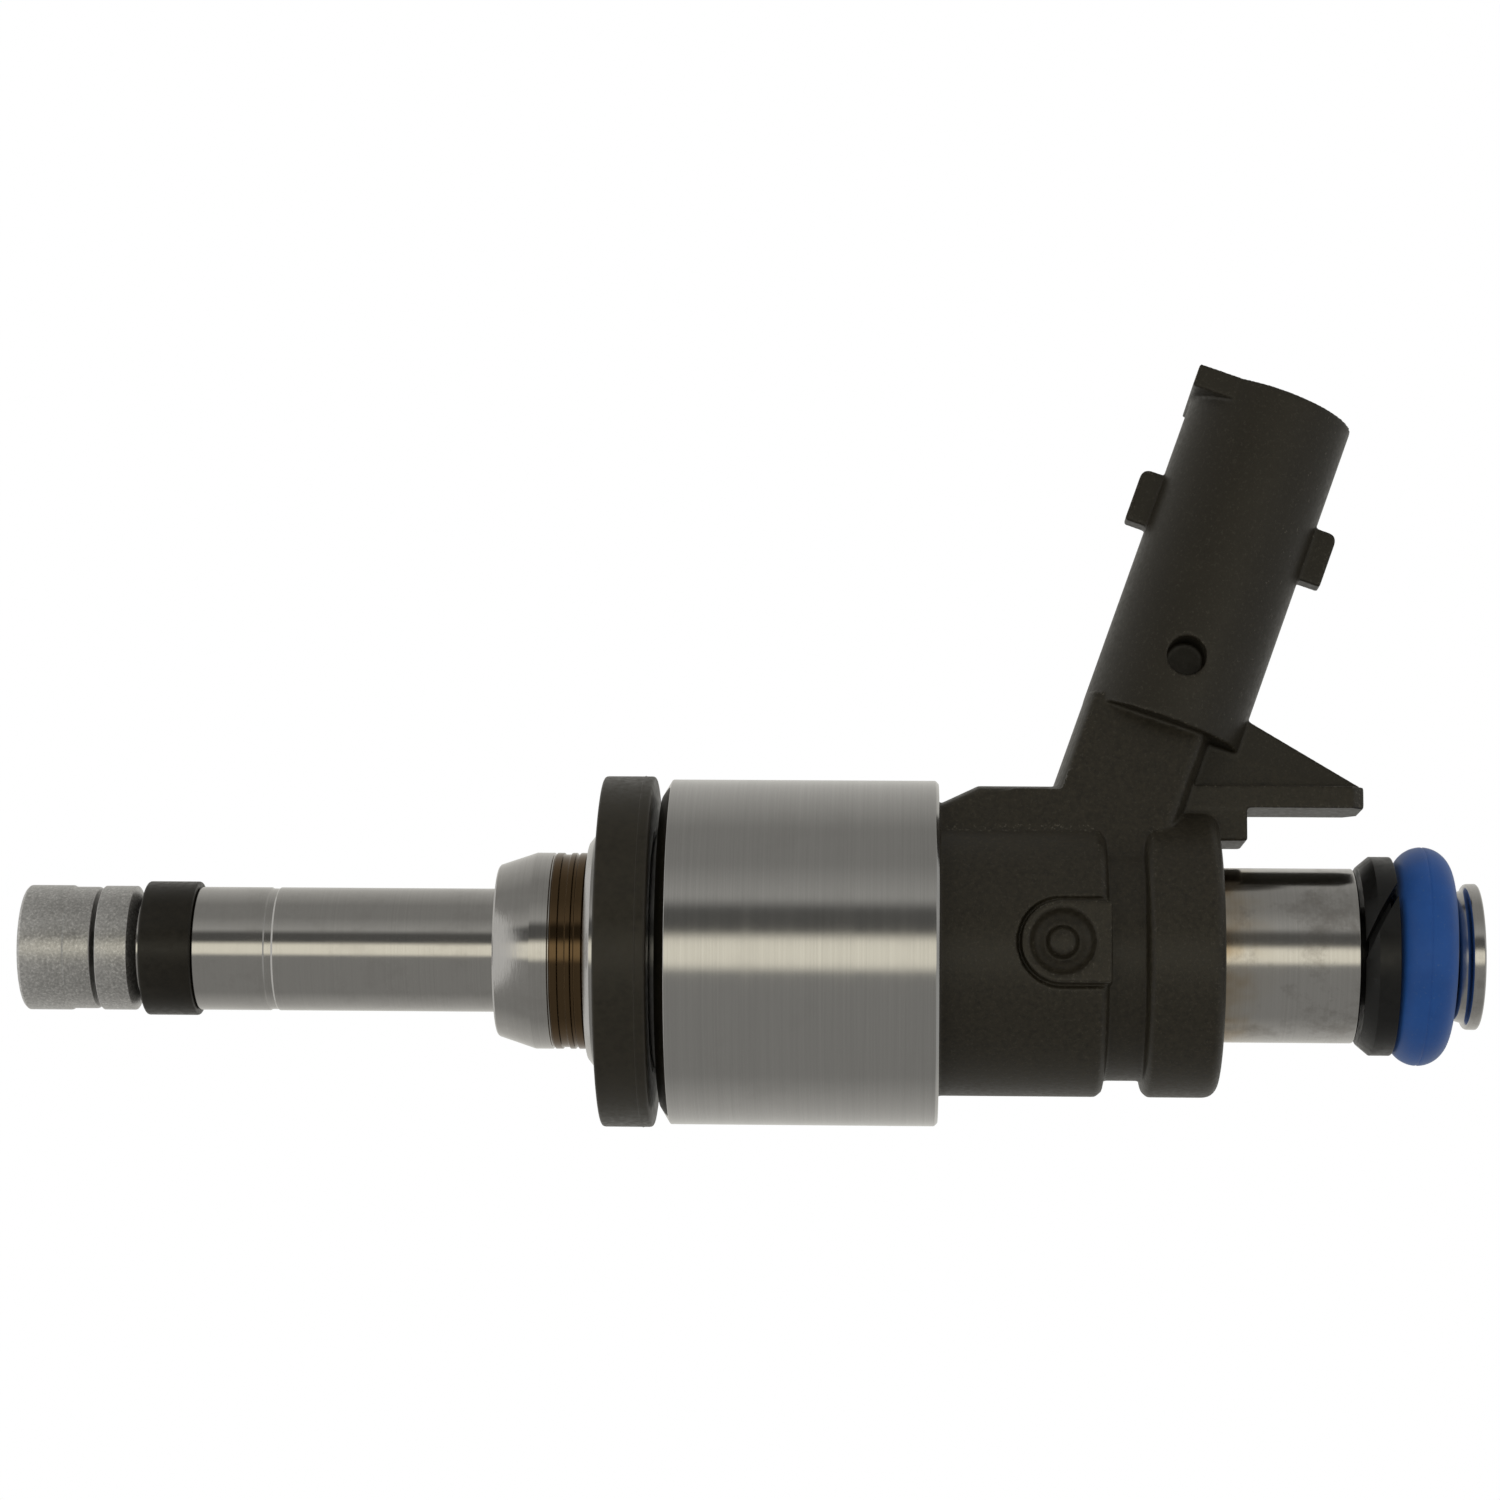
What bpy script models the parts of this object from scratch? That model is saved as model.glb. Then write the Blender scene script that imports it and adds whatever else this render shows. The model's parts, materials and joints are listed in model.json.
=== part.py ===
"""A solenoid fuel injector for direct injection, modelled as the pieces it is assembled from.

The part's frame: +Z runs along the injector, from the nozzle tip up to the fuel inlet. The connector
leans out on the +X side. The origin is on the axis, half a millimetre under the isolator ring's lower
face, which rests on the cylinder head. Lengths below are millimetres, and the makers turn them into
Blender's metres with MM.
"""

import math

import bmesh
import bpy
from mathutils import Matrix, Vector

MM = 0.001
MERGE_DISTANCE = 0.000001  # metres; closes the hairline edges that a Boolean can leave
SIDES = 32  # facets round every turned piece, so that nested pieces keep an even gap

# ---- driving dimensions ----
GAP = 0.3  # between pieces that are pressed together, welded or moulded on
RUNNING_GAP = 0.05  # radial clearance of the needle, the ball and the armature
STOP_GAP = 0.02  # what is left between two stops that meet

NEEDLE_LIFT = 0.08  # the joint needle_lift
ARMATURE_FREE_TRAVEL = 0.05  # the joint armature_free_travel

TIP_Z = -34.3
SEAT_TOP_Z = -29.95
TIP_RADIUS = 3.75
SHAFT_RADIUS = 3.70
SEAL_BOTTOM_Z = -27.0
SEAL_TOP_Z = -23.95
SEAL_RADIUS = 4.02
NECK_RADIUS = 2.95
SHAFT_TOP_Z = -1.0
FUEL_BORE_RADIUS = 2.1

COLLAR_BOTTOM_Z = -5.8
COLLAR_RADIUS = 5.88
COLLAR_TOP_Z = 4.7
TUBE_RADIUS = 5.2  # the magnetic tube and the inlet tube
CHAMBER_RADIUS = 4.6  # the bore that the armature runs in

LATHE_GROOVES = ((-2.42, 0.05), (-1.68, 0.20), (-1.04, 0.08), (-0.33, 0.12))  # heights, half widths

RING_Z = (0.5, 3.55)
RING_RADIUS = 10.5
HUB_RADIUS = 7.0
HUB_BOTTOM_Z = -0.36
HOUSING_BOTTOM_Z = 4.0
HOUSING_FLOOR_Z = 5.0
HOUSING_TOP_Z = 20.49
HOUSING_RADIUS = 10.32
HOUSING_BORE_RADIUS = 9.5

BARREL_RADIUS = 8.5
BARREL_BOTTOM_Z = 20.65
BARREL_TOP_Z = 37.05
BARREL_GROOVE_RADIUS = 7.53
BARREL_GROOVE_Z = (30.3, 32.5)
LOCK_COLLAR_RADIUS = 6.2  # the collar that keys the inlet tube into the moulding
LOCK_COLLAR_Z = (24.7, 26.7)

CONNECTOR_TILT = math.radians(19.5)  # the connector's axis leans from +X towards +Z
CONNECTOR_ROOT_Z = 28.95  # where that axis crosses the injector's axis
SHROUD_RADIUS = 4.87
SHROUD_START = 14.5  # distances along the connector's axis
SHROUD_END = 35.5
SOCKET_RADIUS = 3.8
SOCKET_FLOOR = 23.5
PIN_TIP = 29.8
PIN_PITCH = 2.54
PIN_WIDTH = 0.64
PIN_X = 7.2  # the terminals' upright run, inside the barrel's wall
DECK_X = 9.85  # the flat top of the moulding beside the neck
NECK_START = 9.0
NECK_TOP = 3.0  # the neck's +Z side, across the connector's axis
LUG_ALONG = (25.75, 29.1)
LUG_REACH = 6.2
LUG_HALF_WIDTH = 0.85
KEY_ALONG = (34.1, 35.5)
KEY_ACROSS = (-5.05, -2.5)
KEY_HALF_WIDTH = 4.3
DIMPLE_ALONG = 18.4
DIMPLE_RADIUS = 1.2

SHELF_X = (8.6, 9.92)
SHELF_END_Z = 45.77
SHELF_HALF_WIDTH = 2.4
TAB_X = (6.62, 9.4)
TAB_END_Z = 38.8
FIN_TOP = (14.46, 38.33)
FIN_FOOT = (10.1, 45.6)
FIN_HALF_WIDTH = 0.8
GATE_Z = 27.6
GATE_RADIUS = 2.6
GATE_FACE_Y = 8.62
GATE_DISH_RADIUS = 1.95

TUBE_SHOULDER_Z = 45.15
INLET_TOP_Z = 52.5
INLET_DISC_RADIUS = 4.35
INLET_BORE_RADIUS = 2.0
O_RING_SECTION = 3.53
O_RING_MEAN_RADIUS = 4.74
O_RING_Z = 49.08

BALL_RADIUS = 1.5
BALL_Z = -32.2
NEEDLE_RADIUS = 1.0
ARMATURE_Z = (4.6, 11.85)
ARMATURE_POCKET_Z = 10.0  # the floor of the pocket that holds the armature's spring
POLE_FACE_Z = ARMATURE_Z[1] + NEEDLE_LIFT + ARMATURE_FREE_TRAVEL + STOP_GAP
POLE_CORE_TOP_Z = 22.0
STOP_RING_TOP_Z = 13.2
ADJUSTING_SLEEVE_Z = (22.5, 30.0)

MATERIALS = {
    # name: (base colour, metallic, roughness)
    "blasted_tip": ((0.42, 0.42, 0.42), 0.6, 0.75),
    "turned_steel": ((0.62, 0.61, 0.59), 1.0, 0.32),
    "inlet_steel": ((0.62, 0.59, 0.54), 1.0, 0.25),
    "brushed_steel": ((0.56, 0.56, 0.55), 1.0, 0.38),
    "soft_magnetic_steel": ((0.50, 0.50, 0.49), 1.0, 0.45),
    "spring_steel": ((0.45, 0.44, 0.42), 1.0, 0.30),
    "seal_ptfe": ((0.018, 0.018, 0.019), 0.0, 0.60),
    "isolator_plastic": ((0.030, 0.029, 0.026), 0.0, 0.55),
    "overmold_plastic": ((0.026, 0.023, 0.018), 0.0, 0.60),
    "backup_plastic": ((0.012, 0.012, 0.013), 0.0, 0.45),
    "o_ring_rubber": ((0.010, 0.060, 0.270), 0.0, 0.42),
    "terminal_tin": ((0.66, 0.64, 0.58), 1.0, 0.30),
    "bobbin_plastic": ((0.10, 0.095, 0.085), 0.0, 0.55),
    "copper_wire": ((0.72, 0.30, 0.15), 1.0, 0.35),
    "filter_plastic": ((0.55, 0.50, 0.40), 0.0, 0.50),
    "filter_gauze": ((0.50, 0.50, 0.48), 0.8, 0.50),
}


# ---- makers ----
def clear_scene():
    for old in list(bpy.data.objects):
        bpy.data.objects.remove(old)


def material(name):
    """The named Principled BSDF material, made on its first use."""
    made = bpy.data.materials.get(name)
    if made:
        return made
    colour, metallic, roughness = MATERIALS[name]
    made = bpy.data.materials.new(name)
    made.use_nodes = True
    shader = made.node_tree.nodes["Principled BSDF"]
    shader.inputs["Base Color"].default_value = (*colour, 1.0)
    shader.inputs["Metallic"].default_value = metallic
    shader.inputs["Roughness"].default_value = roughness
    return made


def to_object(name, form):
    """An object in the scene from a bmesh, with its faces turned outwards."""
    bmesh.ops.recalc_face_normals(form, faces=form.faces)
    mesh = bpy.data.meshes.new(name)
    form.to_mesh(mesh)
    form.free()
    made = bpy.data.objects.new(name, mesh)
    bpy.context.collection.objects.link(made)
    return made


def finish(made, material_name, parent=None):
    """Give a piece its material, its shading and, if it moves, the empty that carries it."""
    made.data.materials.clear()
    made.data.materials.append(material(material_name))
    made.data.shade_smooth()
    made.data.set_sharp_from_angle(angle=math.radians(35))
    made.parent = parent
    return made


def turned(name, outline, sides=SIDES):
    """A solid of revolution about Z from a closed outline of (radius, height) points."""
    form = bmesh.new()
    rings = []
    for radius, height in outline:
        if radius == 0:
            rings.append([form.verts.new((0, 0, height * MM))] * sides)
            continue
        ring = []
        for side in range(sides):
            angle = 2 * math.pi * side / sides
            place = (radius * math.cos(angle) * MM, radius * math.sin(angle) * MM, height * MM)
            ring.append(form.verts.new(place))
        rings.append(ring)
    for ring, after in zip(rings, rings[1:] + rings[:1]):
        for side in range(sides):
            beside = (side + 1) % sides
            corners = list(dict.fromkeys([ring[side], ring[beside], after[beside], after[side]]))
            if len(corners) > 2:
                form.faces.new(corners)
    return to_object(name, form)


def sleeve(name, inner, outer, bottom, top, chamfer=0.0):
    """A plain ring, with its two outer edges chamfered."""
    outline = [(inner, bottom), (outer - chamfer, bottom)]
    if chamfer:
        outline += [(outer, bottom + chamfer), (outer, top - chamfer)]
    outline += [(outer - chamfer, top), (inner, top)]
    return turned(name, outline)


def drafted(name, outline, half_width):
    """A solid across Y from an outline of (x, z) points; half_width(x) gives its reach each way."""
    form = bmesh.new()
    near = [form.verts.new((x * MM, half_width(x) * MM, z * MM)) for x, z in outline]
    far = [form.verts.new((x * MM, -half_width(x) * MM, z * MM)) for x, z in outline]
    form.faces.new(near)
    form.faces.new(list(reversed(far)))
    for k in range(len(outline)):
        after = (k + 1) % len(outline)
        form.faces.new([near[k], near[after], far[after], far[k]])
    return to_object(name, form)


def plate(name, outline, half_width, centre_y=0.0):
    """A flat piece of even thickness across Y."""
    made = drafted(name, outline, lambda x: half_width)
    made.data.transform(Matrix.Translation((0, centre_y * MM, 0)))
    return made


def rod(name, start, end, radius, sides=16):
    """A straight round rod between two points."""
    start, end = Vector(start), Vector(end)
    length = (end - start).length
    made = turned(name, [(0, 0), (radius, 0), (radius, length), (0, length)], sides)
    turn = (end - start).to_track_quat("Z", "Y").to_matrix().to_4x4()
    made.data.transform(Matrix.Translation(start * MM) @ turn)
    return made


def combine(target, tool, operation):
    """Cut target with tool, or join the two, and remove the tool."""
    step = target.modifiers.new("combine", "BOOLEAN")
    step.operation = operation
    step.solver = "EXACT"
    step.object = tool
    graph = bpy.context.evaluated_depsgraph_get()
    mesh = bpy.data.meshes.new_from_object(target.evaluated_get(graph))
    form = bmesh.new()
    form.from_mesh(mesh)
    bmesh.ops.remove_doubles(form, verts=form.verts, dist=MERGE_DISTANCE)
    form.to_mesh(mesh)
    form.free()
    target.data = mesh
    target.modifiers.clear()
    bpy.data.objects.remove(tool)


def cut(target, tool):
    combine(target, tool, "DIFFERENCE")


def join(target, tool):
    combine(target, tool, "UNION")


def arc(centre_r, centre_z, radius, start_degrees, end_degrees, steps):
    """Points of a circular arc in an outline's (radius, height) plane."""
    points = []
    for step in range(steps + 1):
        angle = math.radians(start_degrees + (end_degrees - start_degrees) * step / steps)
        points.append((centre_r + radius * math.cos(angle), centre_z + radius * math.sin(angle)))
    return points


def coil_spring(name, mean_radius, wire_radius, bottom, top, turns, sides=6, steps_per_turn=12):
    """A helical compression spring that fills the height from bottom to top."""
    form = bmesh.new()
    steps = round(turns * steps_per_turn)
    rise = top - bottom - 2 * wire_radius
    rings = []
    for step in range(steps + 1):
        angle = 2 * math.pi * step / steps_per_turn
        outward = Vector((math.cos(angle), math.sin(angle), 0))
        centre = outward * mean_radius
        centre.z = bottom + wire_radius + rise * step / steps
        ring = []
        for side in range(sides):
            around = 2 * math.pi * side / sides
            offset = outward * math.cos(around) + Vector((0, 0, math.sin(around)))
            ring.append(form.verts.new((centre + offset * wire_radius) * MM))
        rings.append(ring)
    for ring, after in zip(rings, rings[1:]):
        for side in range(sides):
            beside = (side + 1) % sides
            form.faces.new([ring[side], ring[beside], after[beside], after[side]])
    form.faces.new(rings[0])
    form.faces.new(rings[-1])
    return to_object(name, form)


def carrier(name, parent=None):
    """An empty on the injector's axis that carries the pieces which slide together."""
    made = bpy.data.objects.new(name, None)
    bpy.context.collection.objects.link(made)
    made.empty_display_size = 0.005
    made.parent = parent
    return made


def on_connector(along, across):
    """The (x, z) point at a distance along the connector's axis and across it towards +Z."""
    x = along * math.cos(CONNECTOR_TILT) - across * math.sin(CONNECTOR_TILT)
    z = CONNECTOR_ROOT_Z + along * math.sin(CONNECTOR_TILT) + across * math.cos(CONNECTOR_TILT)
    return x, z


def connector_rod(name, start, end, radius, sides=SIDES):
    """A rod along the connector's axis."""
    ends = []
    for along in (start, end):
        x, z = on_connector(along, 0)
        ends.append((x, 0, z))
    return rod(name, *ends, radius, sides)


def connector_block(name, along, across, half_width):
    """A block square to the connector's axis, from pairs of distances along and across it."""
    corners = [(along[0], across[0]), (along[1], across[0]), (along[1], across[1]), (along[0], across[1])]
    return plate(name, [on_connector(*corner) for corner in corners], half_width)


# ---- nozzle ----
def make_nozzle_seat():
    cone_top = (BALL_RADIUS + RUNNING_GAP, -32.81)
    sac_radius = 0.5
    sac_floor = TIP_Z + 0.3
    cone_bottom = (sac_radius, cone_top[1] - (cone_top[0] - sac_radius))  # a 90 degree seat
    seat = turned("nozzle_seat", [
        (0, TIP_Z),
        (TIP_RADIUS - 0.15, TIP_Z),
        (TIP_RADIUS, TIP_Z + 0.15),
        (TIP_RADIUS, TIP_Z + 2.7),
        (TIP_RADIUS - 0.09, TIP_Z + 2.8),
        (TIP_RADIUS - 0.09, SEAT_TOP_Z),
        (FUEL_BORE_RADIUS, SEAT_TOP_Z),
        (FUEL_BORE_RADIUS, SEAT_TOP_Z - 0.95),
        (cone_top[0], SEAT_TOP_Z - 1.5),
        cone_top,
        cone_bottom,
        (sac_radius, sac_floor),
        (0, sac_floor),
    ])
    spray_holes = 6
    for hole in range(spray_holes):
        angle = 2 * math.pi * hole / spray_holes
        ends = []
        for radius, height in ((0.22, sac_floor + 0.25), (0.64, TIP_Z - 0.15)):
            ends.append((radius * math.cos(angle), radius * math.sin(angle), height))
        cut(seat, rod("spray_hole", *ends, 0.1, sides=6))
    finish(seat, "blasted_tip")


def make_nozzle_body():
    shoulder = SEAL_TOP_Z + GAP
    coated_radius = SHAFT_RADIUS + 0.03
    bottom = SEAT_TOP_Z + GAP
    crimp_z = -19.3
    crimp = 0.07
    finish(turned("nozzle_body", [
        (FUEL_BORE_RADIUS, bottom),
        (coated_radius, bottom),
        (coated_radius, bottom + 1.9),
        (NECK_RADIUS, SEAL_BOTTOM_Z - GAP),
        (NECK_RADIUS, shoulder),
        (SHAFT_RADIUS - 0.08, shoulder),
        (SHAFT_RADIUS, shoulder + 0.08),
        (SHAFT_RADIUS, crimp_z - 0.3),
        (SHAFT_RADIUS - crimp, crimp_z - 0.2),
        (SHAFT_RADIUS - crimp, crimp_z + 0.2),
        (SHAFT_RADIUS, crimp_z + 0.3),
        (SHAFT_RADIUS, SHAFT_TOP_Z),
        (FUEL_BORE_RADIUS, SHAFT_TOP_Z),
    ]), "turned_steel")


def make_combustion_seal():
    seal = sleeve("combustion_seal", NECK_RADIUS + GAP, SEAL_RADIUS, SEAL_BOTTOM_Z, SEAL_TOP_Z, 0.15)
    finish(seal, "seal_ptfe")


# ---- body ----
def make_valve_body():
    ledge_z = 1.5  # the needle guide rests here
    groove_depth = 0.1
    groove_slope = 0.04
    nozzle_bore = SHAFT_RADIUS + GAP
    outline = [
        (nozzle_bore, COLLAR_BOTTOM_Z),
        (COLLAR_RADIUS - 0.82, COLLAR_BOTTOM_Z),
        (COLLAR_RADIUS - 0.72, COLLAR_BOTTOM_Z + 0.1),
        (COLLAR_RADIUS, COLLAR_BOTTOM_Z + 2.25),
    ]
    for groove_z, half_width in LATHE_GROOVES:
        outline += [
            (COLLAR_RADIUS, groove_z - half_width - groove_slope),
            (COLLAR_RADIUS - groove_depth, groove_z - half_width),
            (COLLAR_RADIUS - groove_depth, groove_z + half_width),
            (COLLAR_RADIUS, groove_z + half_width + groove_slope),
        ]
    outline += [
        (COLLAR_RADIUS, COLLAR_TOP_Z),
        (TUBE_RADIUS, COLLAR_TOP_Z),
        (TUBE_RADIUS, 9.7),
        (CHAMBER_RADIUS, 9.7),
        (CHAMBER_RADIUS, ledge_z),
        (3.0, ledge_z),
        (3.0, SHAFT_TOP_Z + GAP),
        (nozzle_bore, SHAFT_TOP_Z + GAP),
    ]
    finish(turned("valve_body", outline), "turned_steel")


def make_isolator_ring():
    ring = sleeve("isolator_ring", HUB_RADIUS + GAP, RING_RADIUS, *RING_Z, 0.2)
    finish(ring, "isolator_plastic")


def make_solenoid_housing():
    hub_bore = COLLAR_RADIUS + GAP
    finish(turned("solenoid_housing", [
        (hub_bore, HUB_BOTTOM_Z),
        (HUB_RADIUS - 0.5, HUB_BOTTOM_Z),
        (HUB_RADIUS, HUB_BOTTOM_Z + 0.4),
        (HUB_RADIUS, HOUSING_BOTTOM_Z),
        (HOUSING_RADIUS - 1.0, HOUSING_BOTTOM_Z),
        (HOUSING_RADIUS, HOUSING_BOTTOM_Z + 0.6),
        (HOUSING_RADIUS, HOUSING_TOP_Z - 0.2),
        (HOUSING_RADIUS - 0.2, HOUSING_TOP_Z),
        (HOUSING_BORE_RADIUS, HOUSING_TOP_Z),
        (HOUSING_BORE_RADIUS, HOUSING_FLOOR_Z),
        (hub_bore, HOUSING_FLOOR_Z),
    ]), "brushed_steel")


# ---- solenoid ----
def make_coil():
    bobbin_inner = TUBE_RADIUS + GAP
    hub = bobbin_inner + 0.7
    flange = HOUSING_BORE_RADIUS - 0.4
    flange_height = 0.8
    bottom = HOUSING_FLOOR_Z + GAP
    top = 18.0
    bobbin = turned("coil_bobbin", [
        (bobbin_inner, bottom),
        (flange, bottom),
        (flange, bottom + flange_height),
        (hub, bottom + flange_height),
        (hub, top - flange_height),
        (flange, top - flange_height),
        (flange, top),
        (bobbin_inner, top),
    ])
    for side in (-1, 1):
        hole = terminal_path("terminal_hole", side, PIN_WIDTH / 2 + GAP, top - 2, SOCKET_FLOOR)
        cut(bobbin, hole)
    finish(bobbin, "bobbin_plastic")
    winding = sleeve(
        "coil_winding", hub + GAP, flange - 0.2, bottom + flange_height + GAP, top - flange_height - GAP
    )
    finish(winding, "copper_wire")


def make_yoke_washer():
    washer = sleeve("yoke_washer", TUBE_RADIUS + GAP, HOUSING_BORE_RADIUS - GAP, 18.6, 20.35)
    notch = [(6.3, 18.0), (10.5, 18.0), (10.5, 21.0), (6.3, 21.0)]
    cut(washer, plate("terminal_notch", notch, 2.4))
    finish(washer, "soft_magnetic_steel")


def make_non_magnetic_ring():
    finish(sleeve("non_magnetic_ring", CHAMBER_RADIUS, TUBE_RADIUS, 10.0, 13.5), "turned_steel")


def make_pole_core():
    core_radius = CHAMBER_RADIUS - GAP
    pocket_radius = 2.9  # room for the needle's stop ring
    pocket_top = 13.8
    finish(turned("pole_core", [
        (pocket_radius, POLE_FACE_Z),
        (core_radius, POLE_FACE_Z),
        (core_radius, POLE_CORE_TOP_Z),
        (INLET_BORE_RADIUS, POLE_CORE_TOP_Z),
        (INLET_BORE_RADIUS, pocket_top),
        (pocket_radius, pocket_top),
    ]), "soft_magnetic_steel")


# ---- connector moulding and its terminals ----
def terminal_path(name, side, half_thickness, bottom, end, taper=0.0):
    """A bent strip: up inside the barrel's wall, then out along the connector's axis."""
    bend_along = PIN_X / math.cos(CONNECTOR_TILT)
    miter = half_thickness * math.tan((math.pi / 2 - CONNECTOR_TILT) / 2)
    outline = [
        (PIN_X - half_thickness, bottom),
        (PIN_X + half_thickness, bottom),
        on_connector(bend_along + miter, -half_thickness),
    ]
    if taper:
        tip = 0.4 * half_thickness
        outline += [
            on_connector(end - taper, -half_thickness),
            on_connector(end, -tip),
            on_connector(end, tip),
            on_connector(end - taper, half_thickness),
        ]
    else:
        outline += [on_connector(end, -half_thickness), on_connector(end, half_thickness)]
    outline.append(on_connector(bend_along - miter, half_thickness))
    return plate(name, outline, half_thickness, side * PIN_PITCH / 2)


def make_terminals():
    for name, side in (("terminal_pin_a", 1), ("terminal_pin_b", -1)):
        pin = terminal_path(name, side, PIN_WIDTH / 2, 17.5, PIN_TIP, taper=1.0)
        finish(pin, "terminal_tin")


def neck_half_width(x):
    """The deck and neck are widest on the barrel and narrow towards the shroud."""
    widest, barrel_side = 5.1, 6.2
    draft = 0.2267
    return widest - draft * (x - barrel_side)


def make_barrel():
    groove_bottom, groove_top = BARREL_GROOVE_Z
    chamfer = 0.4
    return turned("connector_overmold", [
        (0, BARREL_BOTTOM_Z),
        (BARREL_RADIUS, BARREL_BOTTOM_Z),
        (BARREL_RADIUS, groove_bottom - 0.3),
        (BARREL_GROOVE_RADIUS, groove_bottom),
        (BARREL_GROOVE_RADIUS, groove_top),
        (BARREL_RADIUS, groove_top + 0.45),
        (BARREL_RADIUS, BARREL_TOP_Z - chamfer),
        (BARREL_RADIUS - chamfer, BARREL_TOP_Z),
        (0, BARREL_TOP_Z),
    ])


def join_neck(overmold):
    """The deck on the barrel's side, and the neck whose -Z side runs on into the shroud."""
    inside_x = TUBE_RADIUS + 0.1
    bottom = BARREL_BOTTOM_Z + 0.05
    neck_edge = SHROUD_RADIUS - 0.02
    neck_end = SHROUD_START + 0.4
    deck_end = (DECK_X - neck_edge * math.sin(CONNECTOR_TILT)) / math.cos(CONNECTOR_TILT)
    join(overmold, drafted("deck_and_neck", [
        (inside_x, bottom),
        (DECK_X - 1.09, bottom),
        (DECK_X, bottom + 2.1),
        on_connector(deck_end, -neck_edge),
        on_connector(neck_end, -neck_edge),
        on_connector(neck_end, NECK_TOP),
        on_connector(NECK_START, NECK_TOP),
        (inside_x, 33.6),
    ], neck_half_width))


def join_shroud(overmold):
    """The connector's round shroud, with two latch lugs and a square-cornered key at its mouth."""
    inside = SHROUD_RADIUS - 0.6
    join(overmold, connector_rod("shroud", SHROUD_START, SHROUD_END, SHROUD_RADIUS))
    for across in ((inside, LUG_REACH), (-LUG_REACH, -inside)):
        join(overmold, connector_block("latch_lug", LUG_ALONG, across, LUG_HALF_WIDTH))
    join(overmold, connector_block("mouth_key", KEY_ALONG, KEY_ACROSS, KEY_HALF_WIDTH))
    x, z = on_connector(DIMPLE_ALONG, 0)
    cut(overmold, rod("side_dimple", (x, 3.6, z), (x, SHROUD_RADIUS + 1, z), DIMPLE_RADIUS))


def join_locating_shelf(overmold):
    """The shelf, tab and fin that turn the hold-down clip to its place."""
    inside_z = 33.5
    low, high = SHELF_X
    shelf = [(low, inside_z), (high, inside_z), (high, SHELF_END_Z), (low, SHELF_END_Z)]
    join(overmold, plate("locating_shelf", shelf, SHELF_HALF_WIDTH))
    tab_start = BARREL_TOP_Z - 2.25
    tab = [(TAB_X[0], tab_start), (TAB_X[1], tab_start), (TAB_X[1], TAB_END_Z), (TAB_X[0], TAB_END_Z)]
    join(overmold, plate("locating_tab", tab, SHELF_HALF_WIDTH - 0.02))
    buried_x = high - 0.72
    fin = [FIN_TOP, FIN_FOOT, (buried_x, FIN_FOOT[1]), (buried_x, 35.0), (12.0, 35.5)]
    join(overmold, plate("stiffening_fin", fin, FIN_HALF_WIDTH))


def add_gate(overmold):
    """The pad on the barrel where the moulding was filled, with a dish in it."""
    start_y = BARREL_RADIUS - 2
    dish_y = BARREL_RADIUS - 0.3
    join(overmold, rod("gate_pad", (0, start_y, GATE_Z), (0, GATE_FACE_Y, GATE_Z), GATE_RADIUS, sides=24))
    ends = (0, dish_y, GATE_Z), (0, GATE_FACE_Y + 1, GATE_Z)
    cut(overmold, rod("gate_dish", *ends, GATE_DISH_RADIUS, sides=24))


def hollow_overmold(overmold):
    """The bore round the inlet tube, the connector's socket and the terminals' channels."""
    bore = TUBE_RADIUS + GAP
    collar_room = LOCK_COLLAR_RADIUS + GAP
    below, above = BARREL_BOTTOM_Z - 1, BARREL_TOP_Z + 3
    cut(overmold, turned("tube_bore", [
        (0, below),
        (bore, below),
        (bore, LOCK_COLLAR_Z[0] - GAP),
        (collar_room, LOCK_COLLAR_Z[0] - GAP),
        (collar_room, LOCK_COLLAR_Z[1] + GAP),
        (bore, LOCK_COLLAR_Z[1] + GAP),
        (bore, above),
        (0, above),
    ]))
    cut(overmold, connector_rod("socket", SOCKET_FLOOR, SHROUD_END + 2, SOCKET_RADIUS))
    for side in (-1, 1):
        room = PIN_WIDTH / 2 + GAP
        cut(overmold, terminal_path("terminal_channel", side, room, below, SOCKET_FLOOR + 0.5))


def make_connector_overmold():
    overmold = make_barrel()
    join_neck(overmold)
    join_shroud(overmold)
    join_locating_shelf(overmold)
    add_gate(overmold)
    hollow_overmold(overmold)
    finish(overmold, "overmold_plastic")


# ---- inlet ----
def make_inlet_tube():
    neck = O_RING_MEAN_RADIUS - O_RING_SECTION / 2 - GAP
    core_room_top = POLE_CORE_TOP_Z + GAP
    finish(turned("inlet_tube", [
        (CHAMBER_RADIUS, 13.8),
        (TUBE_RADIUS, 13.8),
        (TUBE_RADIUS, LOCK_COLLAR_Z[0]),
        (LOCK_COLLAR_RADIUS, LOCK_COLLAR_Z[0]),
        (LOCK_COLLAR_RADIUS, LOCK_COLLAR_Z[1]),
        (TUBE_RADIUS, LOCK_COLLAR_Z[1]),
        (TUBE_RADIUS, TUBE_SHOULDER_Z - 0.1),
        (TUBE_RADIUS - 0.1, TUBE_SHOULDER_Z),
        (neck, TUBE_SHOULDER_Z),
        (neck, INLET_TOP_Z - 1.4),
        (INLET_DISC_RADIUS - 0.5, INLET_TOP_Z - 1.05),
        (INLET_DISC_RADIUS - 0.05, INLET_TOP_Z - 0.7),
        (INLET_DISC_RADIUS, INLET_TOP_Z - 0.62),
        (INLET_DISC_RADIUS, INLET_TOP_Z - 0.1),
        (INLET_DISC_RADIUS - 0.1, INLET_TOP_Z),
        (INLET_BORE_RADIUS + 0.4, INLET_TOP_Z),
        (INLET_BORE_RADIUS, INLET_TOP_Z - 0.4),
        (INLET_BORE_RADIUS, core_room_top),
        (CHAMBER_RADIUS, core_room_top),
    ]), "inlet_steel")


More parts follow.
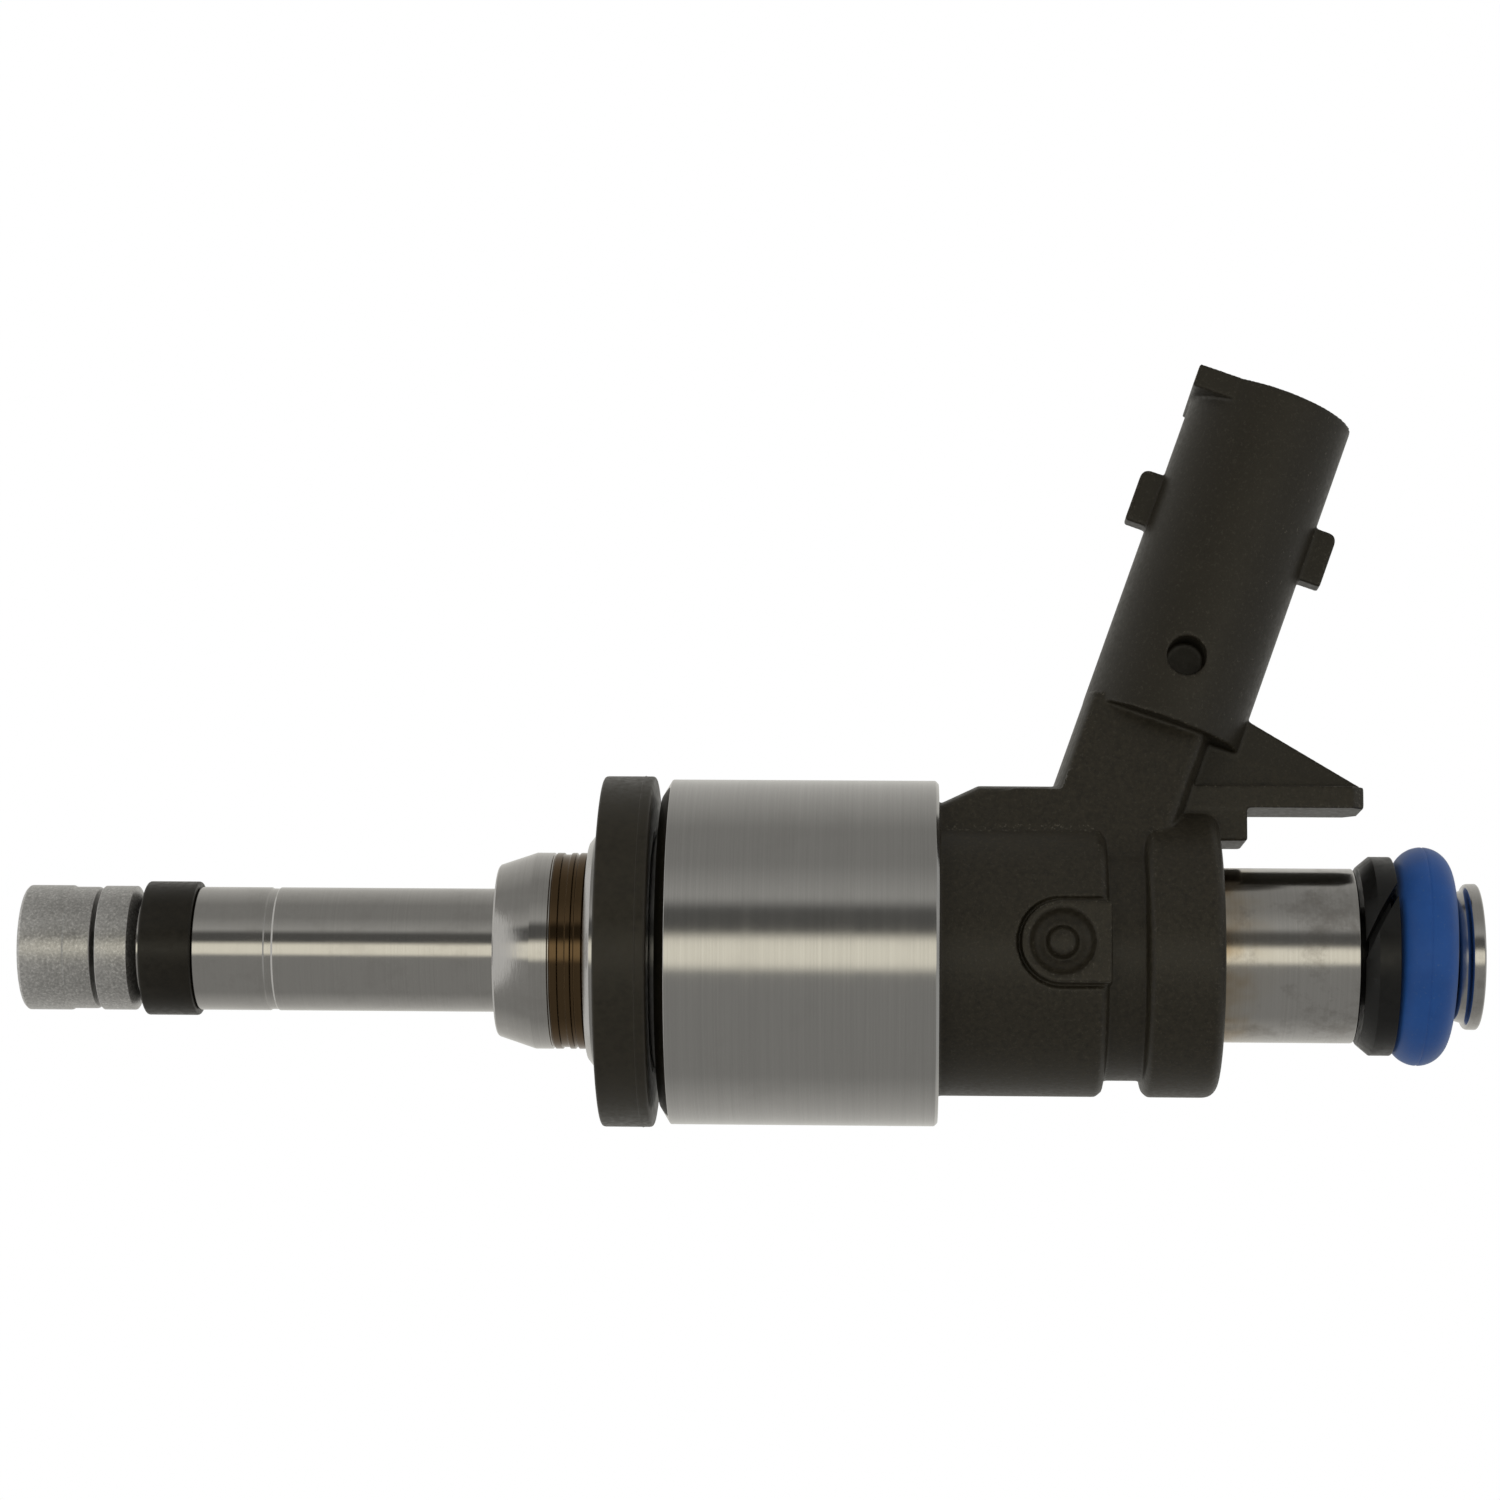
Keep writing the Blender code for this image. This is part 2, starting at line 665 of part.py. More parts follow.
def make_inlet_seals():
    inner = O_RING_MEAN_RADIUS - O_RING_SECTION / 2
    hollow = O_RING_SECTION / 2 + GAP  # the backup ring's upper face is dished to the O-ring
    outer = 5.92
    chamfer_radius = outer - 0.88
    dish_inner = 3.5
    bottom = TUBE_SHOULDER_Z + GAP
    dish = []
    steps = 5
    for step in range(steps + 1):
        radius = outer + (dish_inner - outer) * step / steps
        dish.append((radius, O_RING_Z - math.sqrt(hollow**2 - (radius - O_RING_MEAN_RADIUS) ** 2)))
    foot = [(inner, bottom), (chamfer_radius, bottom), (outer, bottom + 0.66)]
    backup = turned("backup_ring", [*foot, *dish, (inner, dish[-1][1])])
    lean, half_slit = 3.1, 0.4
    low, high = bottom - 0.55, bottom + 2.85
    scarf = [
        (-lean - half_slit, low),
        (-lean + half_slit, low),
        (lean + half_slit, high),
        (lean - half_slit, high),
    ]
    middle_radius = (inner + outer) / 2
    slit = plate("scarf_slit", scarf, 2.2, middle_radius)
    slit.data.transform(Matrix.Rotation(math.radians(-24), 4, "Z"))
    cut(backup, slit)
    finish(backup, "backup_plastic")
    section = arc(O_RING_MEAN_RADIUS, O_RING_Z, O_RING_SECTION / 2, 0, 360, 14)[:-1]
    finish(turned("inlet_o_ring", section), "o_ring_rubber")


def make_inlet_filter():
    outer = INLET_BORE_RADIUS - GAP
    collar_bottom, collar_top = 48.3, 49.8
    foot_bottom, foot_top = 41.8, 42.4
    cage = sleeve("inlet_filter", 1.2, outer, collar_bottom, collar_top)
    rib_x = (1.22, 1.62)
    rib_z = (foot_top - 0.3, collar_bottom + 0.3)
    rib_side = [(rib_x[0], rib_z[0]), (rib_x[1], rib_z[0]), (rib_x[1], rib_z[1]), (rib_x[0], rib_z[1])]
    ribs = 4
    for rib in range(ribs):
        bar = plate("rib", rib_side, 0.2)
        bar.data.transform(Matrix.Rotation(2 * math.pi * (rib + 0.5) / ribs, 4, "Z"))
        join(cage, bar)
    join(cage, rod("foot", (0, 0, foot_bottom), (0, 0, foot_top), outer - 0.02, sides=SIDES))
    finish(cage, "filter_plastic")
    finish(sleeve("filter_mesh", 0.78, 0.9, foot_top + GAP, collar_top - GAP), "filter_gauze")


def make_adjusting_sleeve():
    bottom, top = ADJUSTING_SLEEVE_Z
    tube = sleeve("adjusting_sleeve", 0.9, INLET_BORE_RADIUS - GAP, bottom, top, 0.15)
    slot = [(0.3, bottom - 1), (2.5, bottom - 1), (2.5, top + 1), (0.3, top + 1)]
    cut(tube, plate("slot", slot, 0.25))
    finish(tube, "spring_steel")


# ---- moving pieces ----
def make_needle(axis):
    stop_bottom = ARMATURE_Z[1] + ARMATURE_FREE_TRAVEL + STOP_GAP / 2
    stop_top = STOP_RING_TOP_Z
    ball_top = BALL_Z + 1.2
    needle = turned("valve_needle", [
        (0, ball_top + GAP),
        (NEEDLE_RADIUS - 0.15, ball_top + GAP),
        (NEEDLE_RADIUS, ball_top + GAP + 0.2),
        (NEEDLE_RADIUS, stop_top + 0.2),
        (NEEDLE_RADIUS - 0.2, stop_top + 0.3),
        (NEEDLE_RADIUS - 0.2, stop_top + 1.0),
        (0, stop_top + 1.0),
    ])
    finish(needle, "spring_steel", axis)

    top_degrees = math.degrees(math.asin((ball_top - BALL_Z) / BALL_RADIUS))
    round_side = arc(0, BALL_Z, BALL_RADIUS, -90, top_degrees, 9)
    round_side[0] = (0, BALL_Z - BALL_RADIUS)
    ball = turned("needle_ball", [*round_side, (0, ball_top)])
    below, above = BALL_Z - 2, BALL_Z + 2
    flats = turned("fuel_flats", [(0, below), (1.62, below), (1.62, above), (0, above)], sides=5)
    combine(ball, flats, "INTERSECT")
    finish(ball, "spring_steel", axis)

    pressed = NEEDLE_RADIUS + GAP
    finish(sleeve("needle_stop_ring", pressed, 2.6, stop_bottom, stop_top), "turned_steel", axis)
    lower = sleeve("lower_stop_sleeve", pressed, 1.9, ARMATURE_Z[0] - 1.2, ARMATURE_Z[0] - STOP_GAP)
    finish(lower, "turned_steel", axis)


def make_armature(axis):
    bore = NEEDLE_RADIUS + RUNNING_GAP
    pocket_radius = 1.95
    armature = turned("armature", [
        (bore, ARMATURE_Z[0]),
        (CHAMBER_RADIUS - RUNNING_GAP - 0.2, ARMATURE_Z[0]),
        (CHAMBER_RADIUS - RUNNING_GAP, ARMATURE_Z[0] + 0.2),
        (CHAMBER_RADIUS - RUNNING_GAP, ARMATURE_Z[1] - 0.2),
        (CHAMBER_RADIUS - RUNNING_GAP - 0.2, ARMATURE_Z[1]),
        (pocket_radius, ARMATURE_Z[1]),
        (pocket_radius, ARMATURE_POCKET_Z),
        (bore, ARMATURE_POCKET_Z),
    ])
    passages = 4
    for passage in range(passages):
        angle = 2 * math.pi * (passage + 0.5) / passages
        x, y = 3.3 * math.cos(angle), 3.3 * math.sin(angle)
        ends = (x, y, ARMATURE_Z[0] - 1), (x, y, ARMATURE_Z[1] + 1)
        cut(armature, rod("fuel_passage", *ends, 0.5, sides=10))
    finish(armature, "soft_magnetic_steel", axis)


def make_springs(needle_axis):
    """The armature's spring hangs under the stop ring; the closing spring stays in the tube."""
    bottom = ARMATURE_POCKET_Z + 0.1
    spring = coil_spring("armature_spring", 1.5, 0.15, bottom, ARMATURE_Z[1] - 0.1, 3)
    finish(spring, "spring_steel", needle_axis)
    ends = STOP_RING_TOP_Z + GAP, ADJUSTING_SLEEVE_Z[0] - GAP
    spring = coil_spring("closing_spring", 1.4, 0.26, *ends, 7)
    finish(spring, "spring_steel")


def make_needle_guide():
    guide = sleeve("needle_guide", NEEDLE_RADIUS + RUNNING_GAP, CHAMBER_RADIUS - GAP, 1.8, 3.0)
    holes = 6
    for hole in range(holes):
        angle = 2 * math.pi * hole / holes
        x, y = 2.7 * math.cos(angle), 2.7 * math.sin(angle)
        cut(guide, rod("fuel_hole", (x, y, 1.0), (x, y, 4.0), 0.45, sides=10))
    finish(guide, "turned_steel")


def main():
    clear_scene()
    make_nozzle_seat()
    make_nozzle_body()
    make_combustion_seal()
    make_valve_body()
    make_isolator_ring()
    make_solenoid_housing()
    make_coil()
    make_yoke_washer()
    make_non_magnetic_ring()
    make_pole_core()
    make_terminals()
    make_connector_overmold()
    make_inlet_tube()
    make_inlet_seals()
    make_inlet_filter()
    make_adjusting_sleeve()
    make_needle_guide()
    needle_axis = carrier("needle_axis")
    make_needle(needle_axis)
    make_springs(needle_axis)
    make_armature(carrier("armature_axis", needle_axis))


main()
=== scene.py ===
import json
import math

import bmesh
import bpy
from mathutils import Matrix, Vector


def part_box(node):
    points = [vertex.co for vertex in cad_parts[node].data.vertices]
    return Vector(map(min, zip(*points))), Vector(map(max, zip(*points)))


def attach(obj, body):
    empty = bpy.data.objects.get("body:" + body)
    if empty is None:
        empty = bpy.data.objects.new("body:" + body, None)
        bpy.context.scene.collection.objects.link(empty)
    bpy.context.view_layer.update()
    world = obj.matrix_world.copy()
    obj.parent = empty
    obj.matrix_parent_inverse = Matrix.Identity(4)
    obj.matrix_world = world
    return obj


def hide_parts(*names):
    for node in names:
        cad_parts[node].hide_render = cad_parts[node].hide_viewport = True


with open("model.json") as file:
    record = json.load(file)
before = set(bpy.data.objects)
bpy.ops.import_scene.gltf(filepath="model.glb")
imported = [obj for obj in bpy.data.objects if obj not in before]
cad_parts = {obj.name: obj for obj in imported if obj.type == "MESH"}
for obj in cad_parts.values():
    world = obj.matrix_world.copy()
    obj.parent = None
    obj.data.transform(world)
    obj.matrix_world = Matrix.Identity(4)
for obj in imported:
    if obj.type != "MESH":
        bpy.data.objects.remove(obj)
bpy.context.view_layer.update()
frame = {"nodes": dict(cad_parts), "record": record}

# Lengths are millimetres, and MM turns them into metres. +Z is the injector's axis, towards the
# fuel inlet, and the connector leans out towards +X.
MM = 0.001
SIDES = 160  # facets round each turned piece
BODY = "injector_body"


# ---- places, all from the frame ----
def box(node):
    """A node's lowest and highest corners, in millimetres."""
    low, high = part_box(node)
    return Vector(low) / MM, Vector(high) / MM


def mount(name):
    """A mount's point in millimetres, and its axis."""
    found = next(m for m in frame["record"]["mounts"] if m["name"] == name)
    return Vector(found["pos_m"]) / MM, Vector(found["axis"]).normalized()


CAD_GAP = 0.3  # between two neighbouring CAD pieces
TIP_Z = box("nozzle_seat")[0].z
SEAL_BOTTOM_Z = box("combustion_seal")[0].z
SEAL_TOP_Z = box("combustion_seal")[1].z
HOUSING_TOP_Z = box("solenoid_housing")[1].z
BARREL_RADIUS = -box("connector_overmold")[0].x
SHELF_END_Z = box("connector_overmold")[1].z
TUBE_SHOULDER_Z = box("backup_ring")[0].z - CAD_GAP
INLET_TOP_Z = box("inlet_tube")[1].z
RIM, CONNECTOR_AXIS = mount("connector_rim")
SHOULDER_Z = mount("hold_down_shoulder")[0].z
CONNECTOR_ROOT_Z = RIM.z - RIM.x * CONNECTOR_AXIS.z / CONNECTOR_AXIS.x
SHROUD_END = RIM.x / CONNECTOR_AXIS.x
SHROUD_START = 14.5  # along the connector's axis, as in the CAD
SHROUD_RADIUS = 4.87
CONNECTOR_ACROSS = Vector((-CONNECTOR_AXIS.z, 0, CONNECTOR_AXIS.x))


def on_connector(along, across):
    """The (x, z) point at a distance along the connector's axis and across it towards +Z."""
    point = CONNECTOR_AXIS * along + CONNECTOR_ACROSS * across
    return point.x, point.z + CONNECTOR_ROOT_Z


# ---- mesh makers ----
def to_object(name, form):
    """An object from a bmesh, with its faces turned outwards."""
    bmesh.ops.recalc_face_normals(form, faces=form.faces)
    mesh = bpy.data.meshes.new(name)
    form.to_mesh(mesh)
    form.free()
    made = bpy.data.objects.new(name, mesh)
    bpy.context.collection.objects.link(made)
    return made


def turned(name, outline, sides=SIDES):
    """A solid of revolution about Z from a closed outline of (radius, height) points."""
    form = bmesh.new()
    rings = []
    for radius, height in outline:
        if radius < 1e-6:
            rings.append([form.verts.new((0, 0, height * MM))] * sides)
            continue
        ring = []
        for side in range(sides):
            angle = 2 * math.pi * side / sides
            place = (radius * math.cos(angle) * MM, radius * math.sin(angle) * MM, height * MM)
            ring.append(form.verts.new(place))
        rings.append(ring)
    for ring, after in zip(rings, rings[1:] + rings[:1]):
        for side in range(sides):
            beside = (side + 1) % sides
            corners = list(dict.fromkeys([ring[side], ring[beside], after[beside], after[side]]))
            if len(corners) > 2:
                form.faces.new(corners)
    return to_object(name, form)


def moved_in(outline, insets):
    """The outline with each edge moved inwards by its own inset; the outline runs anticlockwise."""
    count = len(outline)
    points = [Vector(point) for point in outline]
    inward = []
    for k in range(count):
        along = (points[(k + 1) % count] - points[k]).normalized()
        inward.append(Vector((-along.y, along.x)))
    moved = []
    for k in range(count):
        first, second = inward[k - 1], inward[k]
        spread = first.x * second.y - first.y * second.x
        if abs(spread) < 0.05:
            shift = second * insets[k]
        else:
            a, b = insets[k - 1], insets[k]
            shift = Vector((a * second.y - b * first.y, b * first.x - a * second.x)) / spread
        moved.append(points[k] + shift)
    return moved


def crowned(name, outline, half_width, crowns):
    """A solid across Y whose outline draws in towards both faces, each edge by its own crown.

    The outline's (x, z) points run anticlockwise; half_width(x) is the reach each way."""
    power = 2.5
    levels = (0, 0.3, 0.5, 0.65, 0.8, 0.9, 0.96, 1.0)
    form = bmesh.new()
    rings = []
    for level in (*(-a for a in reversed(levels[1:])), *levels):
        drop = 1 - (1 - abs(level) ** power) ** (1 / power)
        points = moved_in(outline, [crown * drop for crown in crowns])
        rings.append([form.verts.new((p.x * MM, level * half_width(p.x) * MM, p.y * MM)) for p in points])
    form.faces.new(rings[0])
    form.faces.new(rings[-1])
    count = len(outline)
    for ring, beside in zip(rings, rings[1:]):
        for k in range(count):
            after = (k + 1) % count
            form.faces.new([ring[k], ring[after], beside[after], beside[k]])
    bmesh.ops.triangulate(form, faces=form.faces)
    return to_object(name, form)


def plate(name, outline, half_width, centre_y=0.0):
    """A flat piece of even thickness across Y from an outline of (x, z) points."""
    form = bmesh.new()
    near = [form.verts.new((x * MM, (centre_y + half_width) * MM, z * MM)) for x, z in outline]
    far = [form.verts.new((x * MM, (centre_y - half_width) * MM, z * MM)) for x, z in outline]
    form.faces.new(near)
    form.faces.new(list(reversed(far)))
    count = len(outline)
    for k in range(count):
        after = (k + 1) % count
        form.faces.new([near[k], near[after], far[after], far[k]])
    return to_object(name, form)


def rod(name, start, end, radius, sides=64):
    """A straight round rod between two points."""
    start, end = Vector(start), Vector(end)
    length = (end - start).length
    made = turned(name, [(0, 0), (radius, 0), (radius, length), (0, length)], sides)
    turn = (end - start).to_track_quat("Z", "Y").to_matrix().to_4x4()
    made.data.transform(Matrix.Translation(start * MM) @ turn)
    return made


def evaluated(made):
    """Apply an object's modifiers to its mesh."""
    graph = bpy.context.evaluated_depsgraph_get()
    mesh = bpy.data.meshes.new_from_object(made.evaluated_get(graph))
    made.modifiers.clear()
    made.data = mesh


def combine(target, tool, operation):
    """Cut target with tool, or join the two, and remove the tool."""
    step = target.modifiers.new("combine", "BOOLEAN")
    step.operation = operation
    step.solver = "EXACT"
    step.object = tool
    evaluated(target)
    bpy.data.objects.remove(tool)


def cut(target, tool):
    combine(target, tool, "DIFFERENCE")


def join(target, tool):
    combine(target, tool, "UNION")


def cad_outline(node):
    """The closed (radius, height) outline of a turned CAD node, read where it crosses the YZ plane."""
    form = bmesh.new()
    form.from_mesh(frame["nodes"][node].data)
    bmesh.ops.remove_doubles(form, verts=form.verts, dist=1e-6)
    near_zero = 1e-6
    on_plane = {v for v in form.verts if abs(v.co.x) < near_zero and v.co.y > -near_zero}
    links = {}
    for vert in on_plane:
        links[vert] = [e.other_vert(vert) for e in vert.link_edges if e.other_vert(vert) in on_plane]
    ends = [v for v in on_plane if len(links[v]) == 1]
    current = min(ends or on_plane, key=lambda v: (v.co.z, v.co.y))
    chain = []
    while current is not None:
        chain.append(current)
        current = next((v for v in links[current] if v not in chain), None)
    outline = [(v.co.y / MM, v.co.z / MM) for v in chain]
    form.free()
    return outline


def rounded(outline, radius, steps=4):
    """The outline with each corner replaced by a curve no longer than its sides allow."""
    points = []
    for k, corner in enumerate(outline):
        before = Vector(outline[k - 1]) - Vector(corner)
        after = Vector(outline[(k + 1) % len(outline)]) - Vector(corner)
        turn = math.pi - before.angle(after)
        if corner[0] < 1e-6 or turn < math.radians(4):
            points.append(corner)
            continue
        reach = min(radius * math.tan(turn / 2), before.length * 0.45, after.length * 0.45)
        start = Vector(corner) + before.normalized() * reach
        end = Vector(corner) + after.normalized() * reach
        for step in range(steps + 1):
            t = step / steps
            bend = start * (1 - t) ** 2 + Vector(corner) * (2 * t * (1 - t)) + end * t**2
            points.append((bend.x, bend.y))
    return points


def smooth(made, angle=40):
    made.data.shade_smooth()
    made.data.set_sharp_from_angle(angle=math.radians(angle))


# ---- shader helpers ----
class Shader:
    """A Principled material under construction."""

    def __init__(self, name, metallic=0.0, roughness=0.5):
        self.material = bpy.data.materials.new(name)
        self.material.use_nodes = True
        self.tree = self.material.node_tree
        self.bsdf = self.tree.nodes["Principled BSDF"]
        self.bsdf.inputs["Metallic"].default_value = metallic
        self.bsdf.inputs["Roughness"].default_value = roughness
        self.place = self.node("ShaderNodeTexCoord").outputs["Object"]

    def node(self, kind, **settings):
        made = self.tree.nodes.new(kind)
        for key, value in settings.items():
            setattr(made, key, value)
        return made

    def link(self, source, target):
        self.tree.links.new(source, target)

    def stretched(self, scale, place=None):
        """Object coordinates times a scale for each axis, per metre."""
        mapping = self.node("ShaderNodeMapping")
        mapping.inputs["Scale"].default_value = scale
        self.link(place or self.place, mapping.inputs["Vector"])
        return mapping.outputs["Vector"]

    def noise(self, scale, detail=3.0, rough=0.6, vector=None):
        made = self.node("ShaderNodeTexNoise")
        made.inputs["Scale"].default_value = scale
        made.inputs["Detail"].default_value = detail
        made.inputs["Roughness"].default_value = rough
        self.link(vector or self.place, made.inputs["Vector"])
        return made.outputs["Fac"]

    def cells(self, scale, vector=None):
        made = self.node("ShaderNodeTexVoronoi")
        made.inputs["Scale"].default_value = scale
        self.link(vector or self.place, made.inputs["Vector"])
        return made.outputs["Distance"]

    def ramp(self, value, stops, mode="LINEAR"):
        """A value run through colour stops of (position, colour)."""
        made = self.node("ShaderNodeValToRGB")
        made.color_ramp.interpolation = mode
        elements = made.color_ramp.elements
        while len(elements) < len(stops):
            elements.new(0.5)
        for element, (position, colour) in zip(elements, stops):
            element.position = position
            element.color = (*colour, 1.0)
        self.link(value, made.inputs["Fac"])
        return made.outputs["Color"]

    def spread(self, value, low, high, from_low=0.3, from_high=0.7):
        """A value mapped onto another range."""
        made = self.node("ShaderNodeMapRange")
        made.inputs["From Min"].default_value = from_low
        made.inputs["From Max"].default_value = from_high
        made.inputs["To Min"].default_value = low
        made.inputs["To Max"].default_value = high
        self.link(value, made.inputs["Value"])
        return made.outputs["Result"]

    def math(self, operation, first, second=None):
        made = self.node("ShaderNodeMath", operation=operation)
        for socket, value in zip(made.inputs, (first, second)):
            if value is None:
                continue
            if isinstance(value, (int, float)):
                socket.default_value = value
            else:
                self.link(value, socket)
        return made.outputs["Value"]

    def mix(self, factor, first, second, blend="MIX"):
        """Two colours mixed by a factor; a plain colour is a tuple."""
        made = self.node("ShaderNodeMix", data_type="RGBA", blend_type=blend)
        sockets = (made.inputs[0], made.inputs[6], made.inputs[7])
        for socket, value in zip(sockets, (factor, first, second)):
            if isinstance(value, tuple):
                socket.default_value = (*value, 1.0)
            elif isinstance(value, (int, float)):
                socket.default_value = value
            else:
                self.link(value, socket)
        return made.outputs[2]

    def height(self):
        """The object's Z coordinate, in millimetres."""
        parts = self.node("ShaderNodeSeparateXYZ")
        self.link(self.place, parts.inputs["Vector"])
        return self.math("MULTIPLY", parts.outputs["Z"], 1 / MM)

    def bump(self, value, distance, strength=1.0, over=None):
        """A bump of a height in millimetres, laid over an earlier one."""
        made = self.node("ShaderNodeBump")
        made.inputs["Distance"].default_value = distance * MM
        made.inputs["Strength"].default_value = strength
        self.link(value, made.inputs["Height"])
        if over is not None:
            self.link(over, made.inputs["Normal"])
        return made.outputs["Normal"]

    def done(self, colour=None, roughness=None, normal=None):
        for name, value in (("Base Color", colour), ("Roughness", roughness), ("Normal", normal)):
            if value is not None:
                self.link(value, self.bsdf.inputs[name])
        return self.material


def grey(value, warmth=0.0):
    return (value * (1 + warmth), value, value * (1 - warmth))


# ---- materials ----
def turned_steel(name, level=0.57, lines=9000, tint=None, roughness=0.11, contrast=0.045, smudge=0.2,
                 chatter_depth=0.0025):
    """Lathe-turned steel: fine rings round the axis, with faint patches of handling."""
    shader = Shader(name, metallic=1.0)
    rings = shader.noise(1.0, 3.0, 0.7, shader.stretched((25, 25, lines)))
    patches = shader.noise(330, 5.0, 0.7)
    warmth = 0.02
    colour = shader.ramp(rings, [
        (0.3, grey(level * (1 - contrast), warmth)),
        (0.7, grey(level * (1 + contrast), warmth)),
    ])
    dull = grey(level * 0.62, 0.05)
    colour = shader.mix(shader.spread(patches, 0.0, smudge, 0.50, 0.66), colour, dull)
    if tint:
        colour = tint(shader, colour)
    rough = shader.spread(patches, roughness - 0.02, roughness + 0.05)
    chatter = shader.noise(1.0, 2.0, 0.7, shader.stretched((1500, 1500, 7000)))
    normal = shader.bump(chatter, chatter_depth, 0.5, over=shader.bump(rings, 0.0012, 0.4))
    return shader.done(colour, rough, normal)


def heat_tinted(start, end, colours, edge=0.5):
    """A tint between two heights, with an uneven border: stops of (share, strength, colour)."""
    def tint(shader, colour):
        wander = shader.spread(shader.noise(420, 2.0), -edge, edge)
        height = shader.math("ADD", shader.height(), wander)
        span = shader.spread(height, 0.0, 1.0, start, end)
        strength = shader.ramp(span, [(stop[0], grey(stop[1])) for stop in colours])
        hue = shader.ramp(span, [(stop[0], stop[2]) for stop in colours])
        return shader.mix(strength, colour, shader.mix(1.0, colour, hue, "MULTIPLY"))
    return tint


def brushed_steel(name):
    """The housing: faint turning lines round the axis, a few broader bands and light stains."""
    shader = Shader(name, metallic=1.0)
    lines = shader.noise(1.0, 4.0, 0.75, shader.stretched((60, 60, 9000)))
    bands = shader.noise(1.0, 2.0, 0.5, shader.stretched((6, 6, 900)))
    stains = shader.noise(300, 4.0, 0.6)
    colour = shader.ramp(lines, [(0.28, grey(0.535, 0.012)), (0.72, grey(0.605, 0.012))])
    colour = shader.mix(shader.spread(bands, 0.0, 0.12), colour, grey(0.50, 0.02))
    colour = shader.mix(shader.spread(stains, 0.0, 0.16, 0.55, 0.75), colour, grey(0.42, 0.03))
    rough = shader.spread(bands, 0.13, 0.18)
    return shader.done(colour, rough, shader.bump(lines, 0.0016, 0.4))


def blasted_coating(name):
    """The tip: a pale grey blasted coat with a fine sparkle."""
    shader = Shader(name, metallic=0.92)
    grains = shader.noise(6500, 2.0, 0.75)
    clouds = shader.noise(900, 3.0)
    colour = shader.ramp(grains, [
        (0.3, grey(0.42, 0.012)),
        (0.55, grey(0.62, 0.012)),
        (0.72, grey(0.88, 0.012)),
    ])
    colour = shader.mix(shader.spread(clouds, 0.0, 0.2), colour, grey(0.50, 0.02))
    return shader.done(colour, shader.spread(grains, 0.30, 0.42), shader.bump(grains, 0.018, 0.5))


def moulded_plastic(name, dark, light, grain=3200, depth=0.02, roughness=0.5):
    """Glass-filled plastic with a spark-eroded grain and a few pale scuffs."""
    shader = Shader(name)
    shader.bsdf.inputs["Specular IOR Level"].default_value = 0.4
    grains = shader.noise(grain, 3.0, 0.65)
    clouds = shader.noise(700, 3.0)
    colour = shader.ramp(grains, [(0.32, dark), (0.68, light)])
    colour = shader.mix(shader.spread(clouds, 0.0, 0.4), colour, tuple(1.25 * c for c in light))
    rough = shader.spread(grains, roughness - 0.08, roughness + 0.12)
    return shader.done(colour, rough, shader.bump(grains, depth, 0.55))


def overmold_plastic(name):
    """The same plastic, grained on the barrel and neck and nearly smooth on the shroud."""
    shader = Shader(name)
    shader.bsdf.inputs["Specular IOR Level"].default_value = 0.42
    along = shader.node("ShaderNodeVectorMath", operation="DOT_PRODUCT")
    shader.link(shader.place, along.inputs[0])
    along.inputs[1].default_value = CONNECTOR_AXIS / MM
    root_along = CONNECTOR_AXIS.z * CONNECTOR_ROOT_Z
    start = root_along + SHROUD_START
    on_shroud = shader.spread(along.outputs["Value"], 0.0, 1.0, start - 0.2, start + 0.2)
    grains = shader.noise(3300, 3.0, 0.65)
    fine = shader.noise(9000, 2.0, 0.6)
    clouds = shader.noise(500, 3.0)
    fibres = shader.noise(5200, 2.0, 0.8)
    coarse = shader.ramp(grains, [(0.3, (0.0200, 0.0168, 0.0108)), (0.7, (0.0455, 0.0385, 0.0255))])
    plain = shader.ramp(fine, [(0.3, (0.0225, 0.0190, 0.0125)), (0.7, (0.0300, 0.0253, 0.0168))])
    colour = shader.mix(on_shroud, coarse, plain)
    colour = shader.mix(shader.spread(clouds, 0.0, 0.35), colour, (0.0385, 0.0328, 0.0225))
    # pale speckle over the whole moulding, made stronger on convex edges
    bend = shader.node("ShaderNodeNewGeometry").outputs["Pointiness"]
    edge_speckle_share = shader.spread(bend, 0.15, 0.75, 0.50, 0.545)
    speckle = shader.math("MULTIPLY", shader.spread(fibres, 0.0, 1.0, 0.56, 0.70), edge_speckle_share)
    colour = shader.mix(speckle, colour, (0.150, 0.138, 0.110))
    rough = shader.spread(grains, 0.36, 0.52)
    deep = shader.math("MULTIPLY", grains, shader.math("SUBTRACT", 1.0, on_shroud))
    normal = shader.bump(fine, 0.004, 0.4, over=shader.bump(deep, 0.024, 0.55))
    return shader.done(colour, rough, normal)


def rubber(name):
    """The O-ring: blue rubber with a dusty bloom and a little lint."""
    shader = Shader(name)
    shader.bsdf.inputs["Specular IOR Level"].default_value = 0.35
    shader.bsdf.inputs["Sheen Weight"].default_value = 0.25
    shader.bsdf.inputs["Sheen Tint"].default_value = (0.75, 0.85, 1.0, 1.0)
    shader.bsdf.inputs["Sheen Roughness"].default_value = 0.4
    clouds = shader.noise(350, 4.0, 0.6)
    dust = shader.noise(5200, 2.0, 0.7)
    colour = shader.ramp(clouds, [(0.3, (0.020, 0.110, 0.440)), (0.7, (0.028, 0.140, 0.540))])
    colour = shader.mix(shader.spread(dust, 0.0, 0.5, 0.62, 0.8), colour, (0.12, 0.21, 0.42))
    return shader.done(colour, shader.spread(clouds, 0.42, 0.56), shader.bump(dust, 0.006, 0.4))


